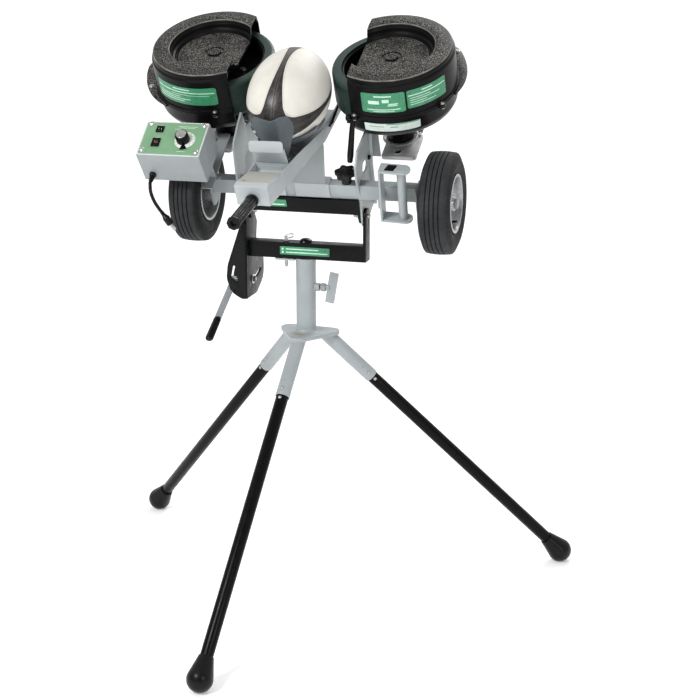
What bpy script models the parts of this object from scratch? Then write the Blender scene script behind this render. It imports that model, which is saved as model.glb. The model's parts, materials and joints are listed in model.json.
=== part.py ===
"""Rugby ball machine on a tripod stand.

Units are metres. +Y is the launch direction, +X is the operator's right and +Z is up.
The origin is on the floor, in the middle of the machine's footprint.
Two frames carry the pieces: the stand frame on the post's axis, and the head frame, which tilts in the
yoke. In the head frame x runs across, y along the launch and z square to the launch.
"""

from math import acos, atan2, cos, degrees, hypot, pi, radians, sin, tan

import bmesh
import bpy
from mathutils import Matrix, Vector

# Clearances
GAP = 0.0003
RUNNING_GAP = 0.0003
SLIDE_GAP = 0.0005

# Tripod
LEG_AZIMUTHS = {"front": 266.0, "left": 146.0, "right": 26.0}
FOOT_REACH = 0.661
FOOT_RADIUS = 0.030
FOOT_FLAT = 0.001
BULB_STEPS = 6
LEG_SLOPE = 44.9
LEG_RADIUS = 0.015
LEG_WALL = 0.002
SOCKET_WALL = 0.0016
SOCKET_END_REACH = 0.162
LEG_TOP_REACH = 0.080
BUTTON_REACH = 0.150
BUTTON_TURNS = {"front": 0.0, "left": 85.0, "right": -85.0}
BUTTON_RADIUS = 0.004
BUTTON_TRAVEL = 0.003
HUB_DROP = 0.0277
HUB_THICKNESS = 0.028
SOCKET_TOP_REACH = 0.052
HUB_TIP_REACH = 0.098
HUB_CORNER = 0.024
POST_RADIUS = 0.024
POST_WALL = 0.0035
POST_LENGTH = 0.1702
CLAMP_DROP = 0.0702
CLAMP_SCREW_RADIUS = 0.005
CLAMP_BOSS_RADIUS = 0.010
CLAMP_BOSS_REACH = 0.035

# Yoke
BAR_SIDE = 0.038
FLANGE_X = -0.1385
FLANGE_THICKNESS = 0.005
UPRIGHT_X = 0.1468
UPRIGHT_THICKNESS = 0.007
PIVOT_RISE = 0.0715
PIVOT_RADIUS = 0.005
LUG_RADIUS = 0.019
LOCK_PIN_X = -0.046
LOCK_PIN_RADIUS = 0.004
SWIVEL_HALF_ANGLE = 15.0
SPINDLE_LENGTH = 0.120
BOLT_SHANK_RADIUS = 0.008

# Tilt lock
SLOT_RADIUS = 0.173
SLOT_REST_ANGLE = 3.8
TILT_UP = 18.0
TILT_DOWN = 2.0
TILT_BOLT_RADIUS = 0.004
TILT_ARM_WIDTH = 0.024
LEVER_OUT = 0.0489
LEVER_BAR = 0.005
LEVER_REACH = 0.2222
LEVER_DROP = 28.9
LEVER_GRIP_LENGTH = 0.078
LEVER_GRIP_RADIUS = 0.0072
FLANGE_NEAR_Y = -0.033
FLANGE_OVER = -0.025
FLANGE_UNDER = -0.213
# Right flange of the quadrant: (y, height over the pivot, corner radius)
SECTOR_OUTLINE = (
    (0.0480, -0.0350, 0.012),
    (0.0385, -0.0820, 0.030),
    (0.0940, -0.1340, 0.020),
    (0.0965, -0.1820, 0.030),
    (0.0400, -0.2130, 0.020),
)
# Front flange and its hook slot: (distance out from the right flange, height over the pivot, corner radius)
FACE_OUTLINE = (
    (0.0140, -0.0250, 0.006),
    (0.0497, -0.1315, 0.030),
    (0.0530, -0.1600, 0.020),
    (0.0419, -0.1936, 0.020),
    (0.0090, -0.2129, 0.010),
)
HOOK_OUTLINE = (
    (0.0310, -0.1335, 0.0018),
    (0.0360, -0.1565, 0.0020),
    (0.0250, -0.1655, 0.0018),
    (0.0255, -0.1715, 0.0018),
    (0.0410, -0.1605, 0.0030),
    (0.0355, -0.1330, 0.0018),
)

# Head
HEAD_X = -0.022
HEAD_PITCH = 26.5
CROSSBAR_BOTTOM = 0.0150
CROSSBAR_HEIGHT = 0.0410
AXLE_TUBE_DEPTH = 0.025
AXLE_TUBE_HEIGHT = 0.0385
AXLE_TUBE_WALL = 0.003
AXLE_TUBE_LEFT = -0.195
AXLE_TUBE_RIGHT = 0.3027
SIDE_PLATE_THICKNESS = 0.005
SADDLE_WALL = 0.003
SADDLE_INNER_X = 0.012
SADDLE_OUTER_X = 0.0955

# Tray: distance along the head, half width, bottom and top of each section
TRAY_SECTIONS = (
    (-0.2505, 0.0385, 0.2060, 0.2455),
    (-0.1000, 0.0412, 0.1680, 0.2145),
    (0.0560, 0.0800, 0.1700, 0.2045),
    (0.2000, 0.0800, 0.1590, 0.1880),
)
TRAY_WALL = 0.0025
COVER_THICKNESS = 0.002
COVER_NEAR = (-0.2475, 0.2405)
COVER_FAR = (-0.1500, 0.2165)

# Ball
BALL_LENGTH = 0.285
BALL_DIAMETER = 0.190
BALL_Y = 0.0822
BALL_Z = 0.277
CRADLE_CLEARANCE = 0.0023
CRADLE_WALL = 0.0045

# Moulded trough: tail wall outline (x, z, corner radius) and the wall's ends along the head
TAIL_OUTLINE = (
    (-0.0240, 0.1717, 0.003),
    (0.0400, 0.1717, 0.003),
    (0.0425, 0.2150, 0.010),
    (0.0580, 0.2700, 0.020),
    (0.0570, 0.3020, 0.010),
    (0.0380, 0.3120, 0.006),
    (0.0000, 0.2945, 0.003),
    (-0.0400, 0.3125, 0.006),
    (-0.0520, 0.3060, 0.006),
    (-0.0500, 0.2900, 0.010),
    (-0.0300, 0.2450, 0.020),
    (-0.0240, 0.2250, 0.010),
)
TAIL_NEAR = -0.0725
TAIL_FAR = -0.028
SCOOP_BOTTOM = 0.1728
SCOOP_TOP = 0.222
SCOOP_HALF = 0.052

# Throwing wheels and their guards; depths are measured down from the guard's top
LAUNCHER_Y = 0.209
LAUNCHER_Z = 0.330
GUARD_RADIUS = 0.150
GUARD_WALL = 0.003
GUARD_DEPTH = 0.095
GUARD_LIP = 0.003
TYRE_EXPOSED = 0.069
POCKET_RIM = 0.019
POCKET_SLOPE = 0.018
POCKET_DEPTH = 0.031
POCKET_STEP = 0.016
POCKET_SHIFT_X = 0.033
POCKET_SHIFT_Y = -0.020
THROWING_CLEARANCE = 0.0075
THROWING_TOP = 0.037
THROWING_WIDTH = 0.086
THROWING_RUBBER = 0.023
NIP_HALF = 0.0758
SHAFT_RADIUS = 0.009
BOWL_DEPTH = 0.155
FLANGE_HEIGHT = 0.005
# The bowl's ear: (angle from the head's x axis, distance from the wheel's axis); the left one is turned on
EAR_OUTLINE = (
    (-12.0, 0.1575),
    (2.0, 0.1630),
    (14.0, 0.1695),
    (27.0, 0.1780),
    (40.0, 0.1890),
    (51.0, 0.2010),
    (58.0, 0.2040),
    (65.0, 0.1980),
    (71.0, 0.1780),
    (74.0, 0.1520),
)
EAR_TURNS = {"right": 0.0, "left": -40.0}
NECK_RADIUS = 0.0335
NECK_WALL = 0.0045
NECK_BOTTOM = 0.2317
GEARBOX_SIZE = (0.093, 0.064, 0.053)
MOTOR_RADIUS = 0.040
MOTOR_LENGTH = 0.120
MOUNT_HALF = 0.085

# Transport wheels
TRANSPORT_RADIUS = 0.120
TRANSPORT_WIDTH = 0.074
RIM_RADIUS = 0.067
RIGHT_WHEEL_X = 0.360
LEFT_WHEEL_X = -0.2425
WHEEL_Z = 0.049
STUB_RADIUS = 0.008
END_PLATE_THICKNESS = 0.004
HUB_RADIUS = 0.022

# Carrying bar at the right end
CARRY_WEB_X = 0.222
CARRY_TOP = 0.174
CARRY_BOTTOM = 0.031
CARRY_BAR_X = 0.2855
CARRY_BAR_RADIUS = 0.011
CARRY_Y = -0.045
CARRY_DEPTH = 0.036
CARRY_THICKNESS = 0.005

# Control box
PANEL_PITCH = 40.0
PANEL_CENTRE = (-0.237, -0.0837, 0.2579)
PANEL_SIZE = (0.154, 0.104)
PANEL_THICKNESS = 0.0016
BOX_DEPTH = 0.088
KNOB_AT = (0.027, -0.0038)
KNOB_RADIUS = 0.0165
ROCKER_SIZE = (0.019, 0.0125)
POWER_ROCKER_AT = (-0.0390, 0.0270)
START_ROCKER_AT = (-0.0385, -0.0145)
ROCKER_TILT = 10.0
GLAND_AT = (-0.0516, -0.066)
GLAND_RADIUS = 0.0082
GLAND_LENGTH = 0.022
CORD_RADIUS = 0.004

# Handles and knobs
GRIP_RADIUS = 0.015
GRIP_LENGTH = 0.150
STAR_X = 0.1362
STAR_RADIUS = 0.0235

ROUND_STEPS = 22
SMALL_STEPS = 12
LEG_STEPS = 14
GUARD_STEPS = 36
WHEEL_STEPS = 28
INNER_STEPS = 22

# Sizes that follow from those above
FOOT_HEIGHT = FOOT_RADIUS - FOOT_FLAT
HUB_TOP = FOOT_HEIGHT + FOOT_REACH * tan(radians(LEG_SLOPE)) - HUB_DROP
POST_TOP = HUB_TOP + POST_LENGTH
CLAMP_HEIGHT = POST_TOP - CLAMP_DROP
BAR_BOTTOM = POST_TOP + RUNNING_GAP
PIVOT_HEIGHT = BAR_BOTTOM + BAR_SIDE + PIVOT_RISE
LEVER_X = FLANGE_X - LEVER_OUT
THROWING_RADIUS = GUARD_RADIUS - THROWING_CLEARANCE
THROWING_RIM = THROWING_RADIUS - THROWING_RUBBER
LAUNCHER_X = NIP_HALF + THROWING_RADIUS
GUARD_CUT = THROWING_RADIUS - TYRE_EXPOSED
POCKET_RADIUS = GUARD_RADIUS - POCKET_RIM
POCKET_FLOOR_RADIUS = POCKET_RADIUS - POCKET_SLOPE


def collection(name):
    made = bpy.data.collections.new(name)
    bpy.context.scene.collection.children.link(made)
    return made


def material(name, colour, roughness, metallic=0.0):
    made = bpy.data.materials.new(name)
    made.use_nodes = True
    shader = made.node_tree.nodes["Principled BSDF"]
    shader.inputs["Base Color"].default_value = (*colour, 1.0)
    shader.inputs["Roughness"].default_value = roughness
    shader.inputs["Metallic"].default_value = metallic
    return made


def clear_scene():
    for obj in list(bpy.data.objects):
        bpy.data.objects.remove(obj, do_unlink=True)


clear_scene()
PARTS = collection("rugby_ball_machine")
CUTTERS = collection("cutters")
GREY_PAINT = (0.62, 0.66, 0.67)
BLACK_PAINT = (0.02, 0.02, 0.022)
STEEL = (0.60, 0.61, 0.62)
RUBBER = (0.03, 0.03, 0.032)


def frame(name, parent, place, turn=(0.0, 0.0, 0.0)):
    """An empty that carries pieces; turn is in degrees."""
    empty = bpy.data.objects.new(name, None)
    PARTS.objects.link(empty)
    empty.parent = parent
    empty.location = place
    empty.rotation_euler = [radians(angle) for angle in turn]
    return empty


def place_object(name, mesh, paint, parent, place, turn):
    obj = bpy.data.objects.new(name, mesh)
    obj.parent = parent
    obj.location = place
    obj.rotation_euler = [radians(angle) for angle in turn]
    if paint is None:
        CUTTERS.objects.link(obj)
        obj.hide_render = True
        obj.display_type = "WIRE"
    else:
        PARTS.objects.link(obj)
        mesh.materials.clear()
        mesh.materials.append(material(name, *paint))
    return obj


def smooth(mesh, angle=35.0):
    mesh.shade_smooth()
    mesh.set_sharp_from_angle(angle=radians(angle))
    return mesh


def mesh_from(bm):
    mesh = bpy.data.meshes.new("shape")
    bm.to_mesh(mesh)
    bm.free()
    return smooth(mesh)


def moved(mesh, place=(0.0, 0.0, 0.0), turn=(0.0, 0.0, 0.0)):
    """The mesh turned about X, Y and Z in that order, in degrees, and then shifted."""
    matrix = Matrix.Translation(place)
    for axis, angle in zip("ZYX", reversed(turn)):
        matrix = matrix @ Matrix.Rotation(radians(angle), 4, axis)
    mesh.transform(matrix)
    return mesh


def box(low, high):
    bm = bmesh.new()
    size = Vector(high) - Vector(low)
    middle = (Vector(high) + Vector(low)) / 2
    bmesh.ops.create_cube(bm, size=1.0, matrix=Matrix.Translation(middle) @ Matrix.Diagonal((*size, 1.0)))
    return mesh_from(bm)


def rod(radius, low, high, sides=SMALL_STEPS, axis="Z", top_radius=None):
    """A cylinder along an axis from low to high."""
    bm = bmesh.new()
    bmesh.ops.create_cone(
        bm,
        cap_ends=True,
        segments=sides,
        radius1=radius,
        radius2=radius if top_radius is None else top_radius,
        depth=high - low,
        matrix=Matrix.Translation((0.0, 0.0, (low + high) / 2)),
    )
    if axis == "X":
        bm.transform(Matrix.Rotation(radians(90), 4, "Y"))
    if axis == "Y":
        bm.transform(Matrix.Rotation(radians(-90), 4, "X"))
    return mesh_from(bm)


def profile_mesh(profile):
    """The wire that a Screw modifier turns; it closes on itself unless both ends are on the axis."""
    count = len(profile)
    mesh = bpy.data.meshes.new("profile")
    closes = not (profile[0][0] == 0.0 and profile[-1][0] == 0.0)
    edges = [(i, (i + 1) % count) for i in range(count if closes else count - 1)]
    mesh.from_pydata([(r, 0.0, z) for r, z in profile], edges, [])
    return mesh


def add_screw(obj, steps):
    screw = obj.modifiers.new("turn", "SCREW")
    screw.steps = steps
    screw.render_steps = steps
    screw.use_merge_vertices = True
    screw.merge_threshold = 0.00001
    screw.use_smooth_shade = True


def evaluated_mesh(obj, weld=0.000001):
    """A plain mesh of the object as it is shown, with its loose caps welded; the object goes."""
    bpy.context.view_layer.update()
    graph = bpy.context.evaluated_depsgraph_get()
    mesh = bpy.data.meshes.new_from_object(obj.evaluated_get(graph))
    bpy.data.objects.remove(obj, do_unlink=True)
    bm = bmesh.new()
    bm.from_mesh(mesh)
    bmesh.ops.remove_doubles(bm, verts=bm.verts, dist=weld)
    bm.to_mesh(mesh)
    bm.free()
    return smooth(mesh)


def turned(profile, steps=ROUND_STEPS, axis="Z"):
    """A turned solid; the profile is (radius, height) points running down the outer side."""
    obj = place_object("turned", profile_mesh(profile), None, None, (0, 0, 0), (0, 0, 0))
    add_screw(obj, steps)
    mesh = evaluated_mesh(obj)
    mesh.materials.clear()
    if axis == "X":
        mesh.transform(Matrix.Rotation(radians(90), 4, "Y"))
    if axis == "Y":
        mesh.transform(Matrix.Rotation(radians(-90), 4, "X"))
    return mesh


def plate(outline, thickness, holes=(), facing="Z", at=0.0):
    """A flat plate with its lower face at a distance along the axis it faces.

    An outline point is (x, y) for Z, (y, z) for X, and (x, z) for Y.
    """
    curve = bpy.data.curves.new("outline", "CURVE")
    curve.dimensions = "2D"
    curve.fill_mode = "BOTH"
    curve.extrude = thickness / 2
    for loop in (outline, *holes):
        spline = curve.splines.new("POLY")
        spline.points.add(len(loop) - 1)
        for point, (x, y) in zip(spline.points, loop):
            point.co = (x, y, 0.0, 1.0)
        spline.use_cyclic_u = True
    obj = bpy.data.objects.new("outline", curve)
    CUTTERS.objects.link(obj)
    mesh = evaluated_mesh(obj)
    mesh.transform(Matrix.Translation((0.0, 0.0, thickness / 2)))
    if facing == "X":
        mesh.transform(Matrix.Rotation(radians(90), 4, "Z") @ Matrix.Rotation(radians(90), 4, "X"))
        mesh.transform(Matrix.Translation((at, 0.0, 0.0)))
    elif facing == "Y":
        mesh.transform(Matrix.Rotation(radians(90), 4, "X"))
        mesh.transform(Matrix.Translation((0.0, at + thickness, 0.0)))
    else:
        mesh.transform(Matrix.Translation((0.0, 0.0, at)))
    return mesh


def circle(x, y, radius, sides=SMALL_STEPS):
    angles = [2 * pi * i / sides for i in range(sides)]
    return [(x + radius * cos(angle), y + radius * sin(angle)) for angle in angles]


def rounded(corners, steps=3):
    """An outline through (x, y, radius) corners, each with its own radius."""
    points = []
    count = len(corners)
    for i, (x, y, radius) in enumerate(corners):
        corner = Vector((x, y))
        before = (Vector(corners[i - 1][:2]) - corner).normalized()
        after = (Vector(corners[(i + 1) % count][:2]) - corner).normalized()
        if radius == 0:
            points.append((x, y))
            continue
        half = acos(max(-1.0, min(1.0, before.dot(after)))) / 2
        centre = corner + (before + after).normalized() * radius / sin(half)
        start = corner + before * radius / tan(half) - centre
        end = corner + after * radius / tan(half) - centre
        first = atan2(start.y, start.x)
        sweep = (atan2(end.y, end.x) - first + pi) % (2 * pi) - pi
        for k in range(steps + 1):
            angle = first + sweep * k / steps
            points.append((centre.x + radius * cos(angle), centre.y + radius * sin(angle)))
    return points


def rounded_box(width, height, radius, x=0.0, y=0.0):
    w, h = width / 2, height / 2
    low = [(x - w, y - h, radius), (x + w, y - h, radius)]
    high = [(x + w, y + h, radius), (x - w, y + h, radius)]
    return rounded([*low, *high])


def arc(x, y, radius, first, last, steps):
    """Points on an arc, angles in degrees."""
    angles = [radians(first + (last - first) * k / steps) for k in range(steps + 1)]
    return [(x + radius * cos(a), y + radius * sin(a)) for a in angles]


def ring_slot(x, y, radius, half_width, first, last, steps=6):
    """A slot that follows an arc, with round ends; angles in degrees."""
    points = arc(x, y, radius + half_width, first, last, steps)
    end_x, end_y = x + radius * cos(radians(last)), y + radius * sin(radians(last))
    points += arc(end_x, end_y, half_width, last, last + 180, 4)[1:-1]
    points += arc(x, y, radius - half_width, last, first, steps)
    start_x, start_y = x + radius * cos(radians(first)), y + radius * sin(radians(first))
    points += arc(start_x, start_y, half_width, first + 180, first + 360, 4)[1:-1]
    return points


def strip(points, thickness):
    """The outline of a bent sheet whose one side follows the points; the sheet lies to their left."""
    sides = []
    for (x0, y0), (x1, y1) in zip(points, points[1:]):
        length = hypot(x1 - x0, y1 - y0)
        sides.append(Vector((-(y1 - y0), x1 - x0)) / length)
    far = []
    for i, (x, y) in enumerate(points):
        before = sides[max(i - 1, 0)]
        after = sides[min(i, len(sides) - 1)]
        offset = (before + after) * thickness / (1 + before.dot(after))
        far.append((x + offset.x, y + offset.y))
    return list(points) + far[::-1]


def loft(sections):
    """A closed solid through rings of points with the same count, capped at both ends."""
    bm = bmesh.new()
    rings = [[bm.verts.new(point) for point in ring] for ring in sections]
    count = len(rings[0])
    for low, high in zip(rings, rings[1:]):
        for i in range(count):
            j = (i + 1) % count
            bm.faces.new((low[i], low[j], high[j], high[i]))
    bm.faces.new(rings[0][::-1])
    bm.faces.new(rings[-1])
    bmesh.ops.recalc_face_normals(bm, faces=bm.faces)
    return mesh_from(bm)


def tube_mesh(points, radius, resolution=2):
    """A round tube along points, with closed ends."""
    curve = bpy.data.curves.new("route", "CURVE")
    curve.dimensions = "3D"
    curve.bevel_depth = radius
    curve.bevel_resolution = resolution
    curve.use_fill_caps = True
    spline = curve.splines.new("POLY")
    spline.points.add(len(points) - 1)
    for point, co in zip(spline.points, points):
        point.co = (*co, 1.0)
    obj = bpy.data.objects.new("route", curve)
    CUTTERS.objects.link(obj)
    return evaluated_mesh(obj)


def ball_mesh(half_length, radius, rings=8, steps=24):
    """An egg-shaped solid of two equal ends, its long axis along Y."""
    profile = []
    for k in range(2 * rings + 1):
        angle = pi / 2 - pi * k / (2 * rings)
        profile.append((max(0.0, radius * cos(angle)), half_length * sin(angle)))
    profile[0] = (0.0, half_length)
    profile[-1] = (0.0, -half_length)
    return turned(profile, steps, axis="Y")


def solid(name, paint, parent, mesh, adds=(), cuts=(), place=(0, 0, 0), turn=(0, 0, 0), bevel=0.0, clips=()):
    """One named piece: a mesh with others joined to it, then cut by others, all in one local frame."""
    obj = place_object(name, mesh, paint, parent, place, turn)
    if bevel:
        edge = obj.modifiers.new("edges", "BEVEL")
        edge.width = bevel
        edge.segments = 1
        edge.limit_method = "ANGLE"
        edge.angle_limit = radians(50)
    for kind, others in (("UNION", adds), ("INTERSECT", clips), ("DIFFERENCE", cuts)):
        for number, other in enumerate(others):
            helper = place_object(f"{name}_{kind.lower()}_{number}", other, None, parent, place, turn)
            change = obj.modifiers.new(helper.name, "BOOLEAN")
            change.operation = kind
            change.solver = "EXACT"
            change.object = helper
    return obj


# Frames

RIGHT_FOOT_X = FOOT_REACH * cos(radians(LEG_AZIMUTHS["right"]))
LEFT_FOOT_X = FOOT_REACH * cos(radians(LEG_AZIMUTHS["left"]))
FRONT_FOOT_Y = FOOT_REACH * sin(radians(LEG_AZIMUTHS["front"]))
BACK_FOOT_Y = FOOT_REACH * sin(radians(LEG_AZIMUTHS["left"]))
POST_X = -(RIGHT_FOOT_X + LEFT_FOOT_X) / 2
POST_Y = -(FRONT_FOOT_Y + BACK_FOOT_Y) / 2

STAND = frame("stand_frame", None, (POST_X, POST_Y, 0.0))
HEAD = frame("head_frame", STAND, (HEAD_X, 0.0, PIVOT_HEIGHT), (HEAD_PITCH, 0.0, 0.0))


# Tripod

LEG_COS = cos(radians(LEG_SLOPE))
SOCKET_RADIUS = LEG_RADIUS + SLIDE_GAP + SOCKET_WALL


def along_leg(reach):
    """Distance up the leg, from the foot's centre, of the point at this reach from the post's axis."""
    return (FOOT_REACH - reach) / LEG_COS


def leg_frame(name, azimuth):
    """At the foot's centre, with z up along the leg and x out of its upper side."""
    angle = radians(azimuth)
    place = (FOOT_REACH * cos(angle), FOOT_REACH * sin(angle), FOOT_HEIGHT)
    return frame(f"leg_frame_{name}", STAND, place, (0.0, LEG_SLOPE - 90.0, azimuth))


def leg_matrix(azimuth):
    angle = radians(azimuth)
    place = Matrix.Translation((FOOT_REACH * cos(angle), FOOT_REACH * sin(angle), FOOT_HEIGHT))
    return place @ Matrix.Rotation(angle, 4, "Z") @ Matrix.Rotation(radians(LEG_SLOPE - 90.0), 4, "Y")


def make_tripod_hub():
    corners = []
    for azimuth in sorted(LEG_AZIMUTHS.values()):
        angle = radians(azimuth)
        tip = HUB_TIP_REACH + HUB_CORNER
        corners.append((tip * cos(angle), tip * sin(angle), HUB_CORNER))
    hub = plate(rounded(corners, 5), HUB_THICKNESS, at=HUB_TOP - HUB_THICKNESS)
    sockets = []
    cuts = []
    top = along_leg(SOCKET_TOP_REACH)
    for name, azimuth in LEG_AZIMUTHS.items():
        socket = rod(SOCKET_RADIUS, along_leg(SOCKET_END_REACH), top, LEG_STEPS)
        socket.transform(leg_matrix(azimuth))
        sockets.append(socket)
        end = along_leg(LEG_TOP_REACH) + GAP
        bore = rod(LEG_RADIUS + SLIDE_GAP, along_leg(SOCKET_END_REACH) - 0.01, end, LEG_STEPS)
        bore.transform(leg_matrix(azimuth))
        cuts.append(bore)
        hole = rod(BUTTON_RADIUS + GAP, 0.0, 0.03, axis="X")
        moved(hole, (0.0, 0.0, along_leg(BUTTON_REACH)), (0.0, 0.0, BUTTON_TURNS[name]))
        hole.transform(leg_matrix(azimuth))
        cuts.append(hole)
    return solid("tripod_hub", (GREY_PAINT, 0.45), STAND, hub, sockets, cuts)


def make_leg(name, azimuth):
    carrier = leg_frame(name, azimuth)
    top = along_leg(LEG_TOP_REACH)
    inner = LEG_RADIUS - LEG_WALL
    leg = turned([(LEG_RADIUS, top), (LEG_RADIUS, 0.012), (inner, 0.012), (inner, top)], LEG_STEPS)
    button_z = along_leg(BUTTON_REACH)
    turn = BUTTON_TURNS[name]
    hole = moved(rod(BUTTON_RADIUS + GAP, 0.0, 0.03, axis="X"), (0.0, 0.0, button_z), (0.0, 0.0, turn))
    solid(f"leg_{name}", (BLACK_PAINT, 0.5), carrier, leg, cuts=[hole])

    bore = LEG_RADIUS + GAP
    neck = 0.0205
    start = acos(neck / FOOT_RADIUS)
    bulb = []
    for k in range(BULB_STEPS + 1):
        angle = start - (start + pi / 2) * k / BULB_STEPS
        bulb.append((max(0.0, FOOT_RADIUS * cos(angle)), FOOT_RADIUS * sin(angle)))
    bulb[-1] = (0.0, -FOOT_RADIUS)
    profile = [(bore + 0.0015, 0.052), (neck - 0.001, 0.050), (neck - 0.001, 0.032), *bulb]
    profile = [(0.0, 0.0117), (bore, 0.0117), (bore, 0.052), *profile]
    foot = turned(profile, LEG_STEPS)
    ground = box((-0.05, -0.05, -0.03), (0.05, 0.05, 0.0))
    under = Matrix.Translation((carrier.location.x, carrier.location.y, 0))
    ground.transform(leg_matrix(azimuth).inverted() @ under)
    solid(f"foot_{name}", (RUBBER, 0.7), carrier, foot, cuts=[ground])

    reach = SOCKET_RADIUS + 0.002
    inside = inner - 0.0015
    button = turned(
        [
            (0.0, reach),
            (BUTTON_RADIUS * 0.6, reach),
            (BUTTON_RADIUS, reach - 0.0012),
            (BUTTON_RADIUS, inside),
            (BUTTON_RADIUS + 0.001, inside),
            (BUTTON_RADIUS + 0.001, inside - 0.0025),
            (0.0, inside - 0.0025),
        ],
        SMALL_STEPS,
        axis="X",
    )
    solid(
        f"snap_button_{name}",
        (STEEL, 0.3, 1.0),
        carrier,
        button,
        place=(0.0, 0.0, button_z),
        turn=(0, 0, turn),
    )


def make_post():
    inner = POST_RADIUS - POST_WALL
    foot = HUB_TOP + GAP
    flare = 0.007
    post = turned(
        [
            (inner, POST_TOP),
            (POST_RADIUS, POST_TOP),
            (POST_RADIUS, foot + flare),
            (POST_RADIUS + flare, foot),
            (inner, foot),
        ]
    )
    boss = rod(CLAMP_BOSS_RADIUS, POST_RADIUS - 0.002, CLAMP_BOSS_REACH, axis="X")
    moved(boss, (0.0, 0.0, CLAMP_HEIGHT))
    tab_reach = -LOCK_PIN_X + 0.024
    tab_half = 0.022
    tab_root = 0.0015 - POST_RADIUS
    tab_outline = rounded(
        [
            (-tab_reach, -tab_half, 0.008),
            (tab_root, -tab_half, 0.0),
            (tab_root, tab_half, 0.0),
            (-tab_reach, tab_half, 0.008),
        ]
    )
    slot_half = LOCK_PIN_RADIUS + SLIDE_GAP
    first = 180 - SWIVEL_HALF_ANGLE - 0.5
    last = 180 + SWIVEL_HALF_ANGLE + 0.5
    slot = ring_slot(0.0, 0.0, -LOCK_PIN_X, slot_half, first, last)
    tab = plate(tab_outline, 0.004, [slot], at=POST_TOP - 0.0045)
    hole = rod(CLAMP_SCREW_RADIUS + RUNNING_GAP, 0.0, CLAMP_BOSS_REACH + 0.01, axis="X")
    moved(hole, (0.0, 0.0, CLAMP_HEIGHT))
    return solid("post", (GREY_PAINT, 0.45), STAND, post, [boss, tab], [hole])


def make_clamp_screw():
    tip = POST_RADIUS - POST_WALL
    screw = rod(CLAMP_SCREW_RADIUS, tip, CLAMP_BOSS_REACH + 0.008, axis="X")
    nut = rod(0.0105, CLAMP_BOSS_REACH + 0.0035, 0.050, 6, axis="X")
    stem = rod(0.0065, 0.045, 0.060, axis="X")
    paddle = plate(rounded_box(0.022, 0.0755, 0.002), 0.006, facing="Y", at=-0.003)
    moved(paddle, (0.065, 0.0, 0.0), (0.0, 9.6, 0.0))
    solid(
        "clamp_screw",
        (GREY_PAINT, 0.4, 0.3),
        STAND,
        screw,
        [nut, stem, paddle],
        place=(0.0, 0.0, CLAMP_HEIGHT),
    )


# Yoke

BAR_TOP = BAR_BOTTOM + BAR_SIDE
BAR_HALF = BAR_SIDE / 2


def make_yoke_frame():
    bar = box((FLANGE_X + GAP, -BAR_HALF, BAR_BOTTOM), (UPRIGHT_X + 0.001, BAR_HALF, BAR_TOP))
    outline = [(-BAR_HALF, BAR_BOTTOM), (BAR_HALF, BAR_BOTTOM)]
    outline += arc(0.0, PIVOT_HEIGHT, LUG_RADIUS, 0, 180, 10)
    pivot = circle(0.0, PIVOT_HEIGHT, PIVOT_RADIUS + RUNNING_GAP)
    upright = plate(outline, UPRIGHT_THICKNESS, [pivot], facing="X", at=UPRIGHT_X)
    shank = rod(BOLT_SHANK_RADIUS + GAP, BAR_BOTTOM - 0.01, BAR_TOP + 0.01, ROUND_STEPS)
    pin = moved(rod(LOCK_PIN_RADIUS + GAP, BAR_BOTTOM - 0.01, BAR_TOP + 0.01), (LOCK_PIN_X, 0.0, 0.0))
    solid("yoke_frame", (BLACK_PAINT, 0.5), STAND, bar, [upright], [shank, pin])


def make_swivel_spindle():
    radius = POST_RADIUS - POST_WALL - SLIDE_GAP
    top = BAR_BOTTOM - GAP
    dome = BAR_TOP + GAP
    profile = [
        (0.0, dome + 0.010),
        (0.008, dome + 0.0085),
        (0.014, dome + 0.005),
        (0.016, dome),
        (BOLT_SHANK_RADIUS, dome),
        (BOLT_SHANK_RADIUS, top),
        (radius, top),
        (radius, POST_TOP - SPINDLE_LENGTH),
        (0.0, POST_TOP - SPINDLE_LENGTH),
    ]
    spindle = turned(profile)
    relief = box(
        (radius - 0.0012, -0.009, CLAMP_HEIGHT - 0.009),
        (radius + 0.01, 0.009, CLAMP_HEIGHT + 0.009),
    )
    solid("swivel_spindle", (STEEL, 0.4, 1.0), STAND, spindle, cuts=[relief])


PIN_EYE_Z = BAR_TOP + 0.0085
RING_RADIUS = 0.0105
RING_WIRE = 0.0009


def make_swivel_pin():
    eye = PIN_EYE_Z
    profile = [
        (0.0, eye + 0.0045),
        (0.0030, eye + 0.0045),
        (LOCK_PIN_RADIUS, eye + 0.0035),
        (LOCK_PIN_RADIUS, BAR_TOP + 0.0035),
        (0.0070, BAR_TOP + 0.0035),
        (0.0070, BAR_TOP + GAP),
        (LOCK_PIN_RADIUS, BAR_TOP + GAP),
        (LOCK_PIN_RADIUS, POST_TOP - 0.013),
        (0.0020, POST_TOP - 0.017),
        (0.0, POST_TOP - 0.017),
    ]
    pin = turned(profile, SMALL_STEPS)
    eye_hole = moved(rod(RING_WIRE + 0.0009, -0.01, 0.01, 12, axis="X"), (0.0, 0.0, eye))
    solid("swivel_pin", (STEEL, 0.3, 1.0), STAND, pin, cuts=[eye_hole], place=(LOCK_PIN_X, 0.0, 0.0))
    angles = [2 * pi * k / 6 for k in range(6)]
    wire = [(RING_RADIUS + RING_WIRE * cos(angle), -RING_WIRE * sin(angle)) for angle in angles]
    ring = moved(turned(wire, 20), (0.0, RING_RADIUS, 0.0))
    seat = eye - 0.0006
    solid(
        "swivel_pin_ring",
        (STEEL, 0.25, 1.0),
        STAND,
        ring,
        place=(LOCK_PIN_X, 0.0, seat),
        turn=(52.0, 0.0, 0.0),
    )


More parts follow.
